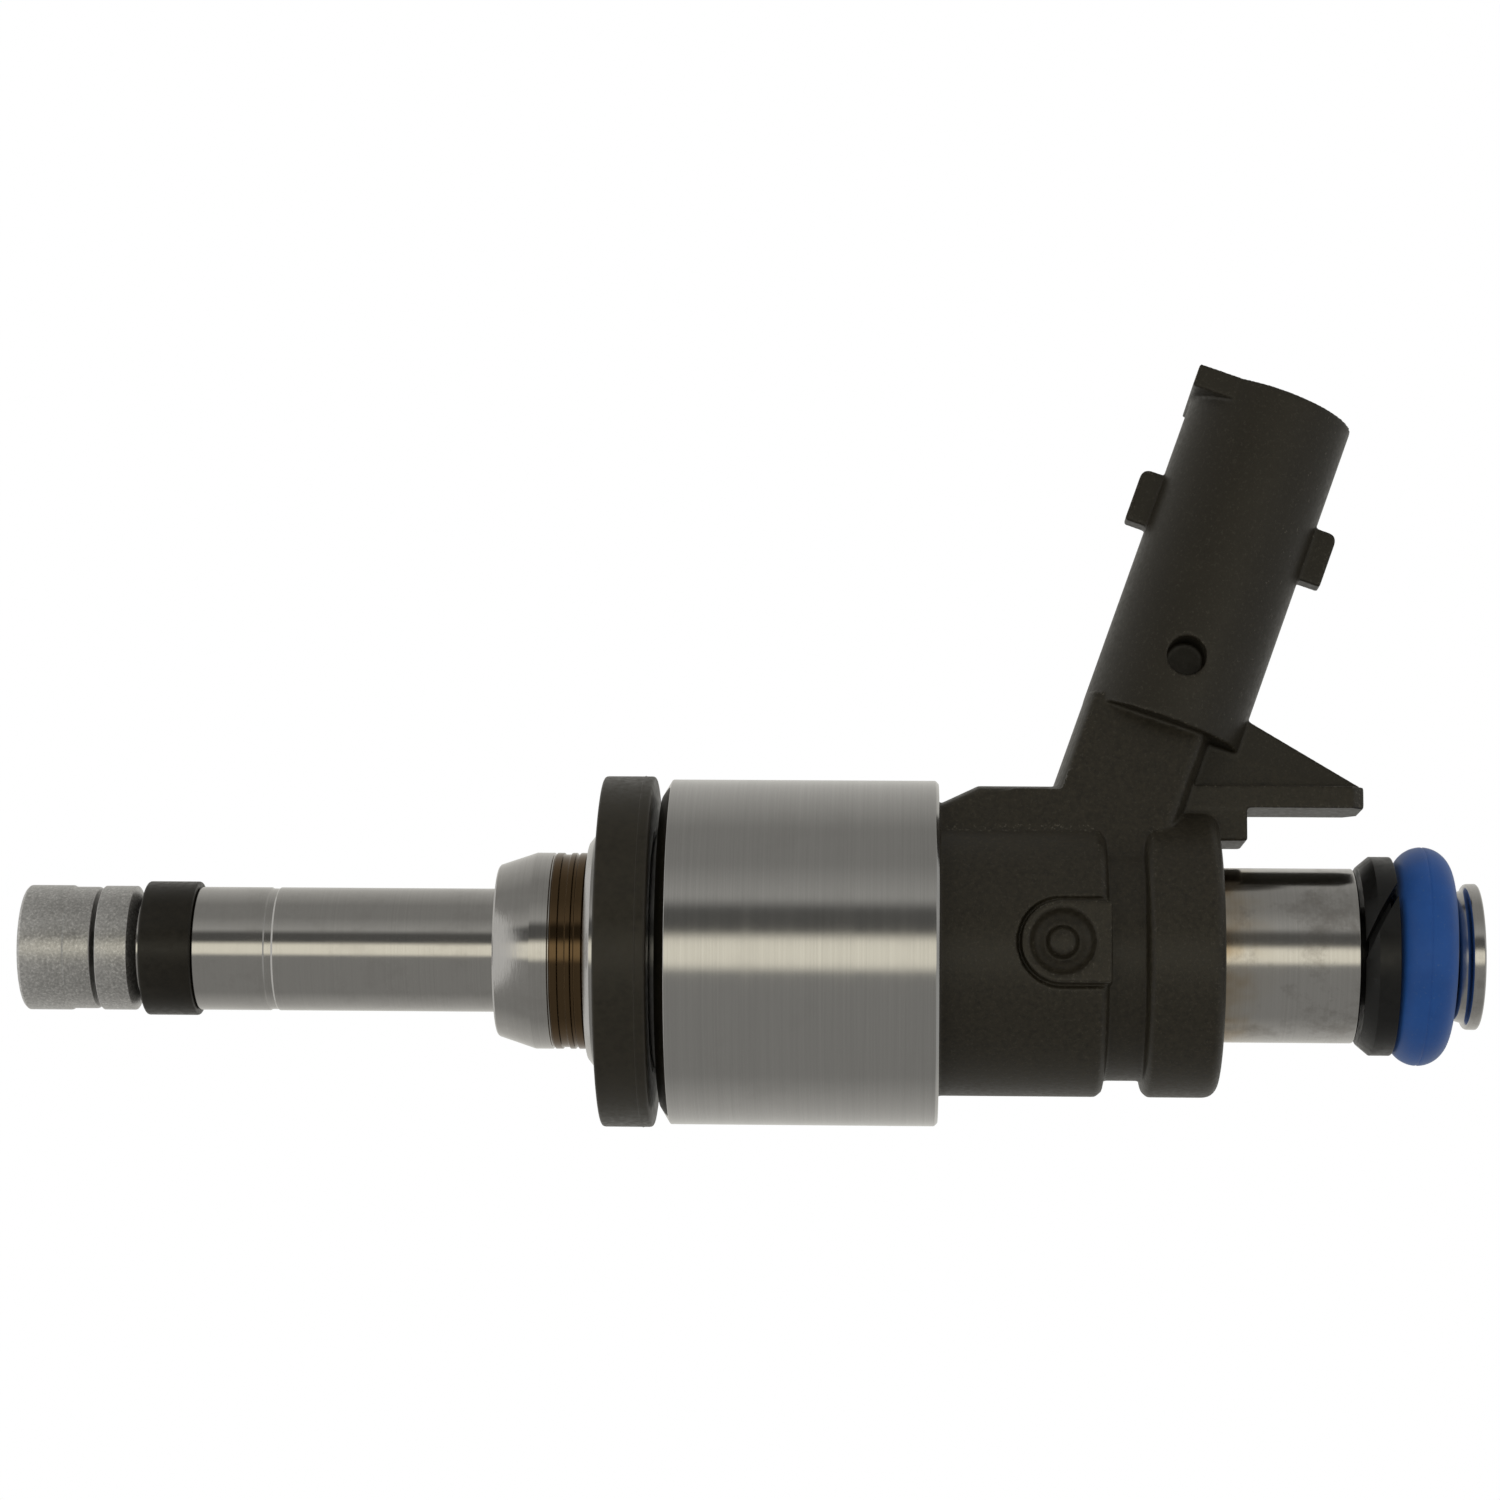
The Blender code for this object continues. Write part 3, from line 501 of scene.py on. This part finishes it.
def copper_turns(name):
    """Enamelled wire laid round the bobbin, a turn every 0.2 mm."""
    shader = Shader(name, metallic=0.9)
    wave = shader.node("ShaderNodeTexWave", bands_direction="Z")
    wave.inputs["Scale"].default_value = 1600
    wave.inputs["Distortion"].default_value = 0.6
    shader.link(shader.place, wave.inputs["Vector"])
    colour = shader.ramp(wave.outputs["Fac"], [(0.1, (0.22, 0.07, 0.025)), (0.7, (0.72, 0.27, 0.11))])
    rough = shader.spread(shader.noise(600), 0.28, 0.45)
    return shader.done(colour, rough, shader.bump(wave.outputs["Fac"], 0.06, 0.8))


def gauze(name):
    """Woven filter wire."""
    shader = Shader(name, metallic=0.8)
    cells = shader.cells(9000)
    colour = shader.ramp(cells, [(0.1, grey(0.12)), (0.6, grey(0.55, 0.02))])
    return shader.done(colour, shader.spread(cells, 0.35, 0.6), shader.bump(cells, 0.04, 0.8))


def make_materials():
    brown = (0.225, 0.150, 0.080)
    bare = (1.0, 1.0, 1.0)
    lip_gold = (0.86, 0.72, 0.50)
    collar_tint = heat_tinted(-2.9, 0.3, [
        (0.0, 0.0, bare),
        (0.145, 0.0, bare),
        (0.155, 1.0, brown),
        (0.80, 1.0, brown),
        (0.86, 1.0, lip_gold),
        (1.0, 1.0, lip_gold),
    ], edge=0.015)
    tube_tint = heat_tinted(37.0, 41.0, [
        (0.0, 0.9, (0.66, 0.50, 0.32)),
        (0.25, 0.55, (0.82, 0.68, 0.48)),
        (0.50, 0.2, (0.94, 0.86, 0.72)),
        (1.0, 0.0, bare),
    ], edge=0.9)
    return {
        "blasted_tip": blasted_coating("blasted_tip"),
        "turned_steel": turned_steel("turned_steel", tint=collar_tint),
        "inlet_steel": turned_steel("inlet_steel", 0.57, 5000, tube_tint, 0.15, 0.06, 0.75),
        "brushed_steel": brushed_steel("brushed_steel"),
        "soft_magnetic_steel": turned_steel("soft_magnetic_steel", 0.46, 3500, None, 0.34),
        "spring_steel": turned_steel("spring_steel", 0.42, 2500, None, 0.26),
        "seal_ptfe": moulded_plastic(
            "seal_ptfe", (0.0095, 0.0076, 0.0042), (0.0160, 0.0128, 0.0075), 2600, 0.006, 0.36
        ),
        "isolator_plastic": moulded_plastic(
            "isolator_plastic", (0.0245, 0.0208, 0.0140), (0.0370, 0.0316, 0.0215), 2600, 0.008, 0.38
        ),
        "overmold_plastic": overmold_plastic("overmold_plastic"),
        "backup_plastic": moulded_plastic("backup_plastic", grey(0.006), grey(0.011), 1800, 0.005, 0.34),
        "o_ring_rubber": rubber("o_ring_rubber"),
        "terminal_tin": turned_steel("terminal_tin", 0.6, 1500, None, 0.3),
        "bobbin_plastic": moulded_plastic("bobbin_plastic", grey(0.06, 0.05), grey(0.11, 0.05)),
        "copper_wire": copper_turns("copper_wire"),
        "filter_plastic": moulded_plastic("filter_plastic", (0.42, 0.37, 0.28), (0.58, 0.52, 0.41)),
        "filter_gauze": gauze("filter_gauze"),
    }


# ---- pieces ----
def show(made, node, materials):
    """Let a new piece stand for its CAD node: same body, same slot, its material."""
    name = next(s["material_slot"] for s in frame["record"]["subparts"] if s["node"] == node)
    made.data.materials.clear()
    made.data.materials.append(materials[name])
    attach(made, BODY)
    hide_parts(node)


def make_turned_pieces(materials):
    """The valve body and the housing again, finer, with their corners rounded as the real edges are."""
    edge_radius = {
        "valve_body": 0.05,
        "solenoid_housing": 0.12,
    }
    for node, radius in edge_radius.items():
        piece = turned(node + "_fine", rounded(cad_outline(node), radius))
        smooth(piece)
        show(piece, node, materials)


def make_nozzle_body(materials):
    """The nozzle's shaft; its shoulder comes down to the seal, and the tip's coat covers its foot."""
    gap_left = 0.07
    shoulder_reach = 0.6
    outline = []
    for radius, height in cad_outline("nozzle_body"):
        if SEAL_TOP_Z < height < SEAL_TOP_Z + shoulder_reach:
            height -= CAD_GAP - gap_left
        outline.append((radius, height))
    piece = turned("nozzle_body_fine", rounded(outline, 0.06))
    smooth(piece)
    show(piece, "nozzle_body", materials)
    piece.data.materials.append(materials["blasted_tip"])
    coat_end = SEAL_BOTTOM_Z + 0.1
    for face in piece.data.polygons:
        face.material_index = int(face.center.z / MM < coat_end)


def make_seal(materials):
    """The combustion seal, filling its groove right up to the shaft's shoulder."""
    outline = cad_outline("combustion_seal")
    inner = min(radius for radius, height in outline)
    outer = max(radius for radius, height in outline)
    top = SEAL_TOP_Z + 0.05
    corners = [(inner, SEAL_BOTTOM_Z), (outer, SEAL_BOTTOM_Z), (outer, top), (inner, top)]
    piece = turned("combustion_seal_fine", rounded(corners, 0.14))
    smooth(piece, 60)
    show(piece, "combustion_seal", materials)


def make_isolator(materials):
    """The isolator ring, with the fine burr of its mould's parting line."""
    low, high = box("isolator_ring")
    outline = cad_outline("isolator_ring")
    inner = min(radius for radius, height in outline)
    edge = high.x
    burr, burr_half_height = 0.035, 0.05
    burr_z = high.z - 0.6
    corners = [
        (inner, low.z),
        (edge, low.z),
        (edge, burr_z - burr_half_height),
        (edge + burr, burr_z),
        (edge, burr_z + burr_half_height),
        (edge, high.z),
        (inner, high.z),
    ]
    piece = turned("isolator_ring_fine", rounded(corners, 0.22))
    smooth(piece)
    show(piece, "isolator_ring", materials)


def make_inlet_tube(materials):
    """The inlet tube, with its O-ring neck at full size and its flange's underside coned."""
    neck_grows = 0.25
    neck_top = INLET_TOP_Z - 1.75
    # for each flange corner: the stretch below the face that holds it, its least radius,
    # and where it goes, as a radius and a depth below the face
    flange_corners = (
        ((1.0, 1.2), 3.5, (3.80, 1.45)),
        ((0.65, 0.8), 4.2, (3.95, 0.88)),
        ((0.55, 0.65), 4.2, (4.33, 0.76)),
    )
    neck_depths = (1.2, INLET_TOP_Z - TUBE_SHOULDER_Z + 0.1)
    outline = []
    for radius, height in cad_outline("inlet_tube"):
        depth = INLET_TOP_Z - height
        point = (radius, height)
        if neck_depths[0] < depth < neck_depths[1] and 2.4 < radius < 3.2:
            point = (radius + neck_grows, min(height, neck_top))
        for (least, most), least_radius, (new_radius, new_depth) in flange_corners:
            if least < depth < most and radius > least_radius:
                point = (new_radius, INLET_TOP_Z - new_depth)
        outline.append(point)
    piece = turned("inlet_tube_fine", rounded(outline, 0.28))
    smooth(piece)
    show(piece, "inlet_tube", materials)


def make_tip(materials):
    """The nozzle seat with its turned groove and its ring of stepped spray holes."""
    piece = turned("nozzle_tip", rounded(cad_outline("nozzle_seat"), 0.16))
    holes = 6
    # each is a rod from (distance from the axis, height above the face) to another, and a radius
    spray_bore = ((0.22, 0.55), (0.64, -0.15), 0.1)
    counterbore = ((0.5, 0.12), (0.6, -0.1), 0.2)
    for hole in range(holes):
        angle = 2 * math.pi * hole / holes
        for start, end, radius in (spray_bore, counterbore):
            ends = []
            for reach, height in (start, end):
                ends.append((reach * math.cos(angle), reach * math.sin(angle), TIP_Z + height))
            cut(piece, rod("spray_hole", *ends, radius, 24))
    smooth(piece)
    show(piece, "nozzle_seat", materials)


def make_o_ring(materials):
    """The O-ring, sitting a little askew, with the fine line of its mould round it."""
    low, high = box("inlet_o_ring")
    section = (high.z - low.z) / 2
    mean = high.x - section
    middle = (low.z + high.z) / 2
    line_depth, line_half_angle = 0.045, 2
    askew = math.radians(-1.6)
    outline = []
    steps = 120
    for step in range(steps):
        degrees = 360 * step / steps
        from_equator = (degrees + 180) % 360 - 180
        reach = section - line_depth * (abs(from_equator) < line_half_angle)
        angle = math.radians(degrees)
        outline.append((mean + reach * math.cos(angle), reach * math.sin(angle)))
    piece = turned("o_ring_fine", outline, 192)
    piece.data.transform(Matrix.Translation((0, 0, middle * MM)) @ Matrix.Rotation(askew, 4, "Y"))
    smooth(piece, 50)
    show(piece, "inlet_o_ring", materials)


def make_backup_ring(materials):
    """The backup ring down on the tube's shoulder, with the scarf cut through its wall."""
    low = box("backup_ring")[0]
    drop = CAD_GAP - 0.02
    foot_top = low.z + 0.4
    outline = []
    for radius, height in cad_outline("backup_ring"):
        outline.append((radius, height - drop * (height < foot_top)))
    piece = turned("backup_ring_fine", rounded(outline, 0.08))
    lean, half_gap = 3.1, 0.5
    bottom, top = low.z - 0.55, low.z + 2.85
    scarf = [
        (-lean - half_gap, bottom),
        (-lean + half_gap, bottom),
        (lean + half_gap, top),
        (lean - half_gap, top),
    ]
    slit = plate("scarf_slit", scarf, 1.4, 5.6)
    slit.data.transform(Matrix.Rotation(math.radians(-24), 4, "Z"))
    cut(piece, slit)
    smooth(piece)
    show(piece, "backup_ring", materials)


def neck_half_width(x):
    """The deck and neck are widest on the barrel and narrow towards the shroud."""
    widest, barrel_side = 5.1, 6.2
    draft = 0.2267
    return widest - draft * (x - barrel_side)


def along_rod(name, start, end, radius, sides=128):
    """A rod along the connector's axis."""
    ends = []
    for along in (start, end):
        x, z = on_connector(along, 0)
        ends.append((x, 0, z))
    return rod(name, *ends, radius, sides)


def across_block(name, along, across, half_width, corner=0.0):
    """A block square to the connector's axis; its outer corner towards the mouth may be rounded."""
    start, end = along
    inner, outer = sorted(across, key=abs)
    outline = [(start, inner), (end, inner), (end, outer), (start, outer)]
    if corner:
        side = math.copysign(1, outer)
        bend = []
        for step in range(5):
            angle = math.radians(90 * step / 4)
            reach = outer - side * corner * (1 - math.sin(angle))
            bend.append((end - corner * (1 - math.cos(angle)), reach))
        outline[2:3] = bend
    return plate(name, [on_connector(*point) for point in outline], half_width)


def make_barrel():
    """The moulding's barrel, with its groove and rounded end, and a skirt filling the housing's end."""
    skirt = BARREL_RADIUS + 0.92
    skirt_top = HOUSING_TOP_Z - 0.02
    bottom = HOUSING_TOP_Z - 0.1
    groove_radius = BARREL_RADIUS - 0.97
    groove_low, groove_high = SHOULDER_Z - 6.75, SHOULDER_Z - 4.55
    flare = 0.45  # how far the groove's rounded lips reach along the barrel
    end_radius = 0.8
    end_round = []
    for step in range(6):
        angle = math.radians(90 * step / 5)
        radius = BARREL_RADIUS - end_radius * (1 - math.cos(angle))
        end_round.append((radius, SHOULDER_Z - end_radius * (1 - math.sin(angle))))
    return turned("overmold_fine", [
        (0, bottom),
        (skirt, bottom),
        (skirt, skirt_top),
        (BARREL_RADIUS, skirt_top),
        (BARREL_RADIUS, groove_low - flare),
        (BARREL_RADIUS - 0.3, groove_low - 0.1),
        (groove_radius, groove_low),
        (groove_radius, groove_high),
        (BARREL_RADIUS - 0.3, groove_high + 0.12),
        (BARREL_RADIUS, groove_high + flare),
        *end_round,
        (0, SHOULDER_Z),
    ])


def join_neck(piece):
    """The deck on the barrel's side, and the neck whose -Z side runs on into the shroud."""
    inside_x = 5.3
    bottom = HOUSING_TOP_Z + 0.03
    deck_x = BARREL_RADIUS + 1.35
    neck_edge = SHROUD_RADIUS - 0.02
    neck_start, neck_end, neck_top = 9.0, SHROUD_START + 0.4, 3.0
    deck_end = (deck_x - SHROUD_RADIUS * CONNECTOR_AXIS.z) / CONNECTOR_AXIS.x
    outline = [
        (inside_x, bottom),
        (deck_x - 1.09, bottom),
        (deck_x, HOUSING_TOP_Z + 2.3),
        on_connector(deck_end, -neck_edge),
        on_connector(neck_end, -neck_edge),
        on_connector(neck_end, neck_top),
        on_connector(neck_start, neck_top),
        (inside_x, 33.6),
    ]
    crowns = (0, 0.72, 0.72, 0.95, 0, 0.9, 0.5, 0)
    join(piece, crowned("deck_and_neck", outline, neck_half_width, crowns))


def join_shroud(piece):
    """The connector's round shroud, with two latch lugs and a square-cornered key at its mouth."""
    connector = along_rod("shroud", SHROUD_START, SHROUD_END, SHROUD_RADIUS)
    add_side_dimple(connector)
    join(piece, connector)
    inside = 4.2
    lug_along = (SHROUD_END - 9.75, SHROUD_END - 6.4)
    lug_reach, lug_half_width, lug_corner = 6.2, 0.85, 0.5
    for across in ((inside, lug_reach), (-lug_reach, -inside)):
        join(piece, across_block("latch_lug", lug_along, across, lug_half_width, lug_corner))
    key_along, key_across, key_half_width = (SHROUD_END - 1.4, SHROUD_END), (-5.05, -2.5), 4.3
    join(piece, across_block("mouth_key", key_along, key_across, key_half_width))


def join_locating_shelf(piece):
    """The shelf, tab and fin that turn the hold-down clip to its place."""
    shelf_low, shelf_high = BARREL_RADIUS + 0.1, BARREL_RADIUS + 1.42
    join(piece, make_shelf(shelf_low, shelf_high, SHELF_END_Z))
    tab_x, tab_z = (6.62, 9.4), (34.8, SHOULDER_Z + 1.75)
    tab = [(tab_x[0], tab_z[0]), (tab_x[1], tab_z[0]), (tab_x[1], tab_z[1]), (tab_x[0], tab_z[1])]
    join(piece, plate("locating_tab", tab, 2.38))
    buried_x = 9.2
    fin_top, fin_foot = (14.46, SHOULDER_Z + 1.28), (10.1, SHELF_END_Z - 0.17)
    fin = [fin_top, fin_foot, (buried_x, fin_foot[1]), (buried_x, 35.0), (12.0, 35.5)]
    join(piece, plate("stiffening_fin", fin, 0.8))


def hollow_overmold(piece):
    """The bore round the inlet tube, and the connector's socket."""
    bore, below, above = 5.26, HOUSING_TOP_Z - 1.1, SHOULDER_Z + 3
    socket_floor, socket_radius = 23.5, 3.8
    cut(piece, turned("tube_bore", [(0, below), (bore, below), (bore, above), (0, above)]))
    cut(piece, along_rod("socket", socket_floor, SHROUD_END + 2, socket_radius))


def make_overmold(materials):
    """The connector moulding: one solid, then softened as a moulding is."""
    piece = make_barrel()
    join_neck(piece)
    join_shroud(piece)
    join_locating_shelf(piece)
    add_gate_pad(piece)
    hollow_overmold(piece)
    soften(piece)
    show(piece, "connector_overmold", materials)


def stand_along_y(made, x, y, z):
    """Stand a piece that was turned about Z at a place, with its axis along +Y."""
    stand = Matrix.Translation((x * MM, y * MM, z * MM)) @ Matrix.Rotation(math.radians(-90), 4, "X")
    made.data.transform(stand)


def add_side_dimple(connector):
    """A round blind hole in the shroud's +Y side."""
    x, z = on_connector(SHROUD_START + 3.9, 0)
    floor, radius, outside = 2.3, 1.17, 6
    dimple = turned("side_dimple", [(0, floor), (radius, floor), (radius, outside), (0, outside)], 64)
    stand_along_y(dimple, x, 0, z)
    cut(connector, dimple)


def make_shelf(low, high, end):
    """The clip's locating shelf, its free end chamfered in plan."""
    half_width, corner = 2.4, 0.7
    inside_z = 33.5
    plan = [
        (-half_width, inside_z),
        (half_width, inside_z),
        (half_width, end - corner),
        (half_width - corner, end),
        (corner - half_width, end),
        (-half_width, end - corner),
    ]
    form = bmesh.new()
    lower = [form.verts.new((low * MM, y * MM, z * MM)) for y, z in plan]
    upper = [form.verts.new((high * MM, y * MM, z * MM)) for y, z in plan]
    form.faces.new(lower)
    form.faces.new(list(reversed(upper)))
    for k in range(len(plan)):
        after = (k + 1) % len(plan)
        form.faces.new([lower[k], lower[after], upper[after], upper[k]])
    return to_object("locating_shelf", form)


def pad_outline(centre, radius, straight_to):
    """Half a circle towards -Z, with straight sides on to a height."""
    turns = [math.radians(degrees) for degrees in range(0, 181, 6)]
    arc = [(radius * math.cos(turn), centre - radius * math.sin(turn)) for turn in turns]
    return [*arc, (-radius, straight_to), (radius, straight_to)]


def add_gate_pad(piece):
    """A flat pad on the barrel that runs into its groove, with a dish and a button in it."""
    centre = SHOULDER_Z - 9.45
    pad_radius, dish_radius, button_radius = 2.52, 1.98, 0.86
    face = BARREL_RADIUS + 0.12
    inside_y = BARREL_RADIUS - 2
    inside_groove = SHOULDER_Z - 6.65
    line = 0.13  # half the width of the sunk line round the pad
    moat_form = pad_outline(centre, pad_radius + line, inside_groove)
    cut(piece, plate("gate_moat", moat_form, 0.6, face - 0.15))
    pad_form = pad_outline(centre, pad_radius - line, inside_groove)
    join(piece, plate("gate_pad", pad_form, (face - inside_y) / 2, (face + inside_y) / 2))
    dish = turned("gate_dish", [
        (0, -0.85),
        (1.1, -0.82),
        (1.65, -0.55),
        (dish_radius, 0.0),
        (dish_radius, 1.0),
        (0, 1.0),
    ], 64)
    stand_along_y(dish, 0, face, centre)
    cut(piece, dish)
    button = turned("gate_button", [
        (0, -1.2),
        (button_radius + 0.12, -1.2),
        (button_radius, -0.5),
        (0.72, -0.3),
        (0.4, -0.22),
        (0, -0.2),
    ], 64)
    stand_along_y(button, 0, face, centre)
    join(piece, button)


def soften(piece):
    """Remesh and relax, so that every corner gets the small radius of a moulding."""
    voxel = piece.modifiers.new("remesh", "REMESH")
    voxel.mode = "VOXEL"
    voxel.voxel_size = 0.1 * MM
    relax = piece.modifiers.new("relax", "SMOOTH")
    relax.factor = 0.5
    relax.iterations = 6
    evaluated(piece)
    piece.data.shade_smooth()


def dress_cad_nodes(materials):
    """The inner nodes keep their CAD shape and take their slot's material."""
    for entry in frame["record"]["subparts"]:
        node = frame["nodes"][entry["node"]]
        for slot in node.material_slots:
            slot.material = materials[entry["material_slot"]]


# ---- stage ----
ROLL = math.radians(5)  # the part is turned about its own axis, connector away from the camera
TOWARDS_CAMERA = Vector((-math.sin(ROLL), math.cos(ROLL), 0))
IMAGE_UP = Vector((math.cos(ROLL), math.sin(ROLL), 0))


def make_camera():
    """A camera beside the part, level with its axis, its right hand towards the inlet."""
    distance, stand_z = 230, 17.7
    aim_z, aim_up = 9.15, 12.13
    lean = math.radians(0.28)
    stand = Vector((0, 0, stand_z)) + TOWARDS_CAMERA * distance
    aim = Vector((0, 0, aim_z)) + IMAGE_UP * aim_up
    back = (stand - aim).normalized()
    right = Vector((0, 0, 1)) * math.cos(lean) + IMAGE_UP * math.sin(lean)
    up = back.cross(right).normalized()
    right = up.cross(back).normalized()
    camera = bpy.data.objects.new("camera", bpy.data.cameras.new("camera"))
    bpy.context.collection.objects.link(camera)
    axes = Matrix((right, up, back)).transposed().to_4x4()
    camera.matrix_world = Matrix.Translation(stand * MM) @ axes
    camera.data.lens = 91.95
    camera.data.clip_start = 0.01
    camera.data.clip_end = 5
    bpy.context.scene.camera = camera


class Sky:
    """The world's node tree under construction."""

    def __init__(self, name):
        world = bpy.data.worlds.new(name)
        bpy.context.scene.world = world
        world.use_nodes = True
        self.tree = world.node_tree
        self.tree.nodes.clear()
        self.direction = self.node("ShaderNodeTexCoord").outputs["Generated"]

    def node(self, kind):
        return self.tree.nodes.new(kind)

    def link(self, source, target):
        self.tree.links.new(source, target)

    def along(self, axis):
        """The direction's share along an axis."""
        dot = self.node("ShaderNodeVectorMath")
        dot.operation = "DOT_PRODUCT"
        self.link(self.direction, dot.inputs[0])
        dot.inputs[1].default_value = axis
        return dot.outputs["Value"]

    def share_between(self, value, start, end):
        """0 at the start of a range and 1 at its end."""
        share = self.node("ShaderNodeMapRange")
        share.inputs["From Min"].default_value = start
        share.inputs["From Max"].default_value = end
        self.link(value, share.inputs["Value"])
        return share.outputs["Result"]

    def turn(self):
        """The direction's angle round the injector's axis, from 0 at -180 degrees to 1 at 180."""
        angle = self.node("ShaderNodeMath")
        angle.operation = "ARCTAN2"
        self.link(self.along(IMAGE_UP), angle.inputs[0])
        self.link(self.along(TOWARDS_CAMERA), angle.inputs[1])
        return self.share_between(angle.outputs["Value"], -math.pi, math.pi)

    def lights_round(self, stops):
        """Light by angle round the axis, from stops of (degrees, level, tint)."""
        ramp = self.node("ShaderNodeValToRGB")
        elements = ramp.color_ramp.elements
        while len(elements) < len(stops):
            elements.new(0.5)
        for element, (degrees, level, tint) in zip(elements, stops):
            element.position = (degrees + 180) / 360
            element.color = (*(level * part for part in tint), 1.0)
        self.link(self.turn(), ramp.inputs["Fac"])
        return ramp.outputs["Color"]

    def fade(self, share, first, second):
        """One light fading into a plain colour."""
        mixed = self.node("ShaderNodeMix")
        mixed.data_type = "RGBA"
        self.link(share, mixed.inputs[0])
        self.link(first, mixed.inputs[6])
        mixed.inputs[7].default_value = (*second, 1.0)
        return mixed.outputs[2]

    def finish(self, lit, backdrop_colour):
        """Light the part with one colour and show the camera another behind it."""
        light = self.node("ShaderNodeBackground")
        self.link(lit, light.inputs["Color"])
        backdrop = self.node("ShaderNodeBackground")
        backdrop.inputs["Color"].default_value = (*backdrop_colour, 1.0)
        choose = self.node("ShaderNodeMixShader")
        self.link(self.node("ShaderNodeLightPath").outputs["Is Camera Ray"], choose.inputs["Fac"])
        self.link(light.outputs["Background"], choose.inputs[1])
        self.link(backdrop.outputs["Background"], choose.inputs[2])
        output = self.node("ShaderNodeOutputWorld")
        self.link(choose.outputs["Shader"], output.inputs["Surface"])


def make_world():
    """A soft white studio: a strip light by the camera, a dark gap and a reflector beside it."""
    sky = Sky("studio")
    strip, gap, reflector, side, behind = 1.0, 0.10, 0.40, 0.26, 0.65
    warm = (1.0, 0.955, 0.80)
    room = (1.0, 0.985, 0.925)
    # degrees round the injector's axis, from the camera towards the connector's side
    lit = sky.lights_round([
        (-165, behind, room),
        (-90, side, room),
        (-14, side, room),
        (-8, strip, warm),
        (7, strip, warm),
        (14, gap, room),
        (28, gap, room),
        (36, reflector, room),
        (60, side, room),
        (90, side, room),
        (165, behind, room),
    ])
    height = sky.node("ShaderNodeSeparateXYZ")
    sky.link(sky.direction, height.inputs["Vector"])
    lit = sky.fade(sky.share_between(height.outputs["Z"], -0.75, -0.98), lit, (0.55, 0.55, 0.54))
    lit = sky.fade(sky.share_between(height.outputs["Z"], 0.60, 0.85), lit, (0.42, 0.42, 0.405))
    sky.finish(lit, (1.0, 1.0, 1.0))


def make_floor():
    """A pale round table top under the hanging injector."""
    drop, radius, thickness = 28, 70, 4
    top = TIP_Z - drop
    bottom = top - thickness
    floor = turned("floor", rounded([(0, bottom), (radius, bottom), (radius, top), (0, top)], 1.0))
    smooth(floor)
    shader = Shader("pale_table", roughness=0.7)
    shader.bsdf.inputs["Emission Color"].default_value = (1.0, 0.99, 0.97, 1.0)
    shader.bsdf.inputs["Emission Strength"].default_value = 0.3
    cloud = shader.noise(40, 2.0)
    floor.data.materials.append(shader.done(shader.ramp(cloud, [(0.3, grey(0.80)), (0.7, grey(0.84))])))


def make_lights():
    """One broad soft light over the connector's side, so that every side has some modelling."""
    lamp = bpy.data.objects.new("soft_light", bpy.data.lights.new("soft_light", "AREA"))
    bpy.context.collection.objects.link(lamp)
    lamp.data.shape = "RECTANGLE"
    side, watts = 0.30, 0.08
    lamp.data.size = side
    lamp.data.size_y = side
    lamp.data.energy = watts
    lamp.visible_glossy = False
    place = IMAGE_UP * 0.30 + TOWARDS_CAMERA * 0.22 + Vector((0, 0, 0.12))
    lamp.location = place
    lamp.rotation_mode = "QUATERNION"
    lamp.rotation_quaternion = place.to_track_quat("Z", "Y")


def main():
    materials = make_materials()
    make_camera()
    make_world()
    make_lights()
    make_floor()
    make_turned_pieces(materials)
    make_tip(materials)
    make_nozzle_body(materials)
    make_seal(materials)
    make_isolator(materials)
    make_inlet_tube(materials)
    make_o_ring(materials)
    make_backup_ring(materials)
    make_overmold(materials)
    dress_cad_nodes(materials)
    bpy.context.scene.view_settings.view_transform = "Standard"


main()
